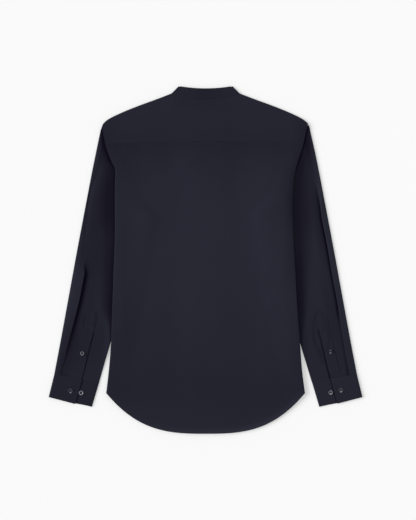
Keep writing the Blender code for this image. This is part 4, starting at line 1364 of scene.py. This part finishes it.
for hole in buttonholes:
    low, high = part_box(hole.node)
    centre = np.array([(low.x + high.x) / 2, (low.y + high.y) / 2]) / MM
    across = np.array(hole.across)
    along = np.array([-across[1], across[0]])
    bend = np.linspace(-math.pi / 2, math.pi / 2, 9)
    ring = [
        centre + way * (along * ((hole.long - HOLE_WIDE) / 2 + HOLE_WIDE / 2 * math.cos(angle))
                        + across * HOLE_WIDE / 2 * math.sin(angle))
        for way in (1, -1) for angle in bend
    ]
    ring.append(ring[0])
    stitched(
        hole.node.replace("button", "buttonhole"),
        [dropped(skins[hole.piece], ring, hole.under)],
        EDGING_PITCH, EDGING_LENGTH, math.pi / 2, EDGING_THREAD,
    )

# ---- Buttons ---------------------------------------------------------------------------------
# Small turned buttons of dark pearly plastic, with a raised rim round a dish and four holes, sewn
# on with navy thread. One on each cuff holds the lap, and its neighbour is spare.

BUTTON_THICK, HOLE, HOLE_APART, BUTTON_THREAD = 2.0, 0.62, 2.5, 0.3
SMALL_BUTTON, CUFF_BUTTON, FRONT_BUTTON = 9.5, 10.5, 11.0
BUTTON_SHARP = 40  # degrees
# A painted highlight is a pale patch on a button's face.
HIGHLIGHT_WIDE = 0.3  # how wide a pale patch is, in radii of its button
# Half of a button's outline, as (share of its radius, share of its thickness).
PROFILE = (
    (0.0, 0.62), (0.3, 0.62), (0.52, 0.64), (0.6, 0.7), (0.66, 0.84), (0.74, 0.96), (0.82, 1.0),
    (0.9, 0.97), (0.965, 0.86), (1.0, 0.66), (0.99, 0.42), (0.94, 0.22), (0.82, 0.06), (0.6, 0.0),
    (0.0, 0.0),
)
# The thread through two holes: (share of the way from the middle, height).
SEWN_THROUGH = (-1, 0.2), (-1, 1.0), (-0.8, 1.5), (0, 1.62), (0.8, 1.5), (1, 1.0), (1, 0.2)
# The last field holds the painted highlights on a button's face: (x, y, how pale), in radii.
Button = namedtuple("Button", "node size up lustre pale")

pearl = Finish("dark_pearl")
face = pearl.node("UVMap", {"uv_map": "face"})[0]
from_middle = pearl.node("VectorMath", {"operation": "LENGTH"}, [face])[1]
layers = pearl.noise(pearl.place(), 260.0, 3.0, Distortion=1.2)
lustre, pale = pearl.carried("lustre"), pearl.carried("pale")
rim_mask = pearl.node(
    "MapRange", {"interpolation_type": "SMOOTHSTEP"},
    {"Value": from_middle, "From Min": 0.56, "From Max": 0.7},
)[0]
# The pale rim is partly pearly figure and partly a painted highlight, as strong as its lustre.
pearl.set(
    Base_Color=pearl.node(
        "Mix", {"data_type": "RGBA"},
        {
            "Factor": rim_mask * (layers * 0.7 + 0.1) * lustre + pale,
            6: (0.013, 0.014, 0.022, 1),
            7: (0.32, 0.32, 0.38, 1),
        },
    )[2],
    Roughness=layers * 0.12 + 0.42 - lustre * 0.25,
    Specular_IOR_Level=0.1,
    Coat_Weight=lustre * 0.5 + 0.03,
    Coat_Roughness=0.14,
    Normal=pearl.bump(layers, 0.1, 0.0001),
)


def tube(form, points, radius):
    """A closed round bar of thread along points."""
    rings, sides = [], 8
    for k, point in enumerate(points):
        ahead = (points[min(k + 1, len(points) - 1)] - points[max(k - 1, 0)]).normalized()
        side_way = ahead.cross(Vector((0.13, 0.9, 0.21))).normalized()
        up_way = ahead.cross(side_way)
        rings.append([
            form.verts.new(point + radius * (side_way * math.cos(angle) + up_way * math.sin(angle)))
            for angle in (2 * math.pi * i / sides for i in range(sides))
        ])
    for a, b in zip(rings, rings[1:]):
        for i in range(sides):
            j = (i + 1) % sides
            form.faces.new((a[i], a[j], b[j], b[i]))
    form.faces.new(rings[0][::-1])
    form.faces.new(rings[-1])


def in_order(mesh):
    """The same mesh with its points and faces in a set order, which a cut leaves to chance."""
    points = [tuple(vert.co) for vert in mesh.vertices]
    order = sorted(range(len(points)), key=lambda i: points[i])
    rank = {i: place for place, i in enumerate(order)}
    faces = []
    for face in mesh.polygons:
        corners = [rank[i] for i in face.vertices]
        first = corners.index(min(corners))
        faces.append(corners[first:] + corners[:first])
    made = bpy.data.meshes.new(mesh.name)
    made.from_pydata([points[i] for i in order], [], sorted(faces))
    return made


def turned_button(size):
    """A button at the origin, face up, made of its turned blank less four holes."""
    form = bmesh.new()
    verts = [form.verts.new((r * size / 2, 0, z * BUTTON_THICK)) for r, z in PROFILE]
    edges = [form.edges.new(pair) for pair in zip(verts, verts[1:])]
    bmesh.ops.spin(
        form, geom=verts + edges, cent=(0, 0, 0), axis=(0, 0, 1), angle=2 * math.pi, steps=40,
        use_merge=True,
    )
    bmesh.ops.remove_doubles(form, verts=form.verts, dist=0.001)
    bmesh.ops.recalc_face_normals(form, faces=form.faces)
    blank = put("blank", mesh_of("blank", form))
    form = bmesh.new()
    for k in range(4):
        angle, reach = math.pi / 4 + k * math.pi / 2, HOLE_APART / 2
        centre = Matrix.Translation((reach * math.cos(angle), reach * math.sin(angle), 1))
        bmesh.ops.create_cone(
            form, cap_ends=True, segments=16, radius1=HOLE, radius2=HOLE, depth=4, matrix=centre
        )
    drills = put("drills", mesh_of("drills", form))
    drilled = blank.modifiers.new("holes", "BOOLEAN")
    drilled.operation, drilled.object, drilled.solver = "DIFFERENCE", drills, "EXACT"
    blank.data = in_order(plain(blank).data)
    bpy.data.objects.remove(drills)
    return blank


def fastened(made, master, sits):
    """A copy of the turned button, sewn on where it sits, with its face up or down."""
    form = bmesh.new()
    form.from_mesh(master.data)
    uv = form.loops.layers.uv.new("face")
    shine = form.verts.layers.float.new("lustre")
    highlight_layer = form.verts.layers.float.new("pale")
    # Each point's painted highlight, from the pale patches given for its button.
    for vert in form.verts:
        place = Vector(vert.co[:2]) / (made.size / 2)
        vert[highlight_layer] = sum(
            much * math.exp(-((place - Vector((x, y))).length / HIGHLIGHT_WIDE) ** 2)
            for x, y, much in made.pale
        )
    for face in form.faces:
        for loop in face.loops:
            loop[uv].uv = (loop.vert.co.x / (made.size / 2), loop.vert.co.y / (made.size / 2))
    reach = HOLE_APART / 2 * math.sqrt(0.5)
    for x in (-reach, reach):
        tube(form, [Vector((x, y * reach, z)) for y, z in SEWN_THROUGH], BUTTON_THREAD)
    for vert in form.verts:
        vert[shine] = made.lustre
    flip = Matrix.Identity(4)
    if not made.up:
        flip = Matrix.Rotation(math.pi, 4, "X") @ Matrix.Translation((0, 0, -BUTTON_THICK))
    form.transform(Matrix.Scale(MM, 4) @ Matrix.Translation(sits) @ flip)
    name = made.node + "_turned"
    piece = softened(put(name, mesh_of(name, form)), BUTTON_SHARP)
    piece.data.materials.append(pearl.material)
    return piece


# A painted highlight low on the face.
LOW_HIGHLIGHT = ((0.0, -0.75, 0.5),)  # a pale patch low on the face
placed = [Button(f"front_button_{k}", FRONT_BUTTON, False, 0.7, LOW_HIGHLIGHT) for k in range(1, 8)] + [
    Button("collar_button", FRONT_BUTTON, False, 0.7, LOW_HIGHLIGHT),
    Button("left_cuff_button_1", CUFF_BUTTON, True, 0.16, ((0.05, -0.85, 0.9), (0.1, 0.6, 0.12))),
    Button("left_cuff_button_2", CUFF_BUTTON, True, 0.95, ((0.75, -0.15, 0.3), (-0.1, -0.8, 0.3))),
    Button("right_cuff_button_1", CUFF_BUTTON, True, 0.2, ((0.0, -0.72, 1.0), (0.0, 0.6, 0.15))),
    Button("right_cuff_button_2", CUFF_BUTTON, True, 0.6, ((0.0, -0.5, 1.0), (0.15, 0.75, 0.35))),
    Button("left_gauntlet_button", SMALL_BUTTON, True, 0.65, ((-0.1, -0.7, 0.25), (0.7, 0.1, 0.2))),
    Button(
        "right_gauntlet_button", SMALL_BUTTON, True, 0.02, ((0.0, 0.7, 0.4), (0.05, -0.55, 0.7))),
]
masters = {size: turned_button(size) for size in (FRONT_BUTTON, CUFF_BUTTON, SMALL_BUTTON)}
for made in placed:
    low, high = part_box(made.node)
    sits = Vector(((low.x + high.x) / 2, (low.y + high.y) / 2, low.z)) / MM
    piece = fastened(made, masters[made.size], sits)
    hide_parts(made.node)
    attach(piece, "root")
for blank in masters.values():
    bpy.data.objects.remove(blank)
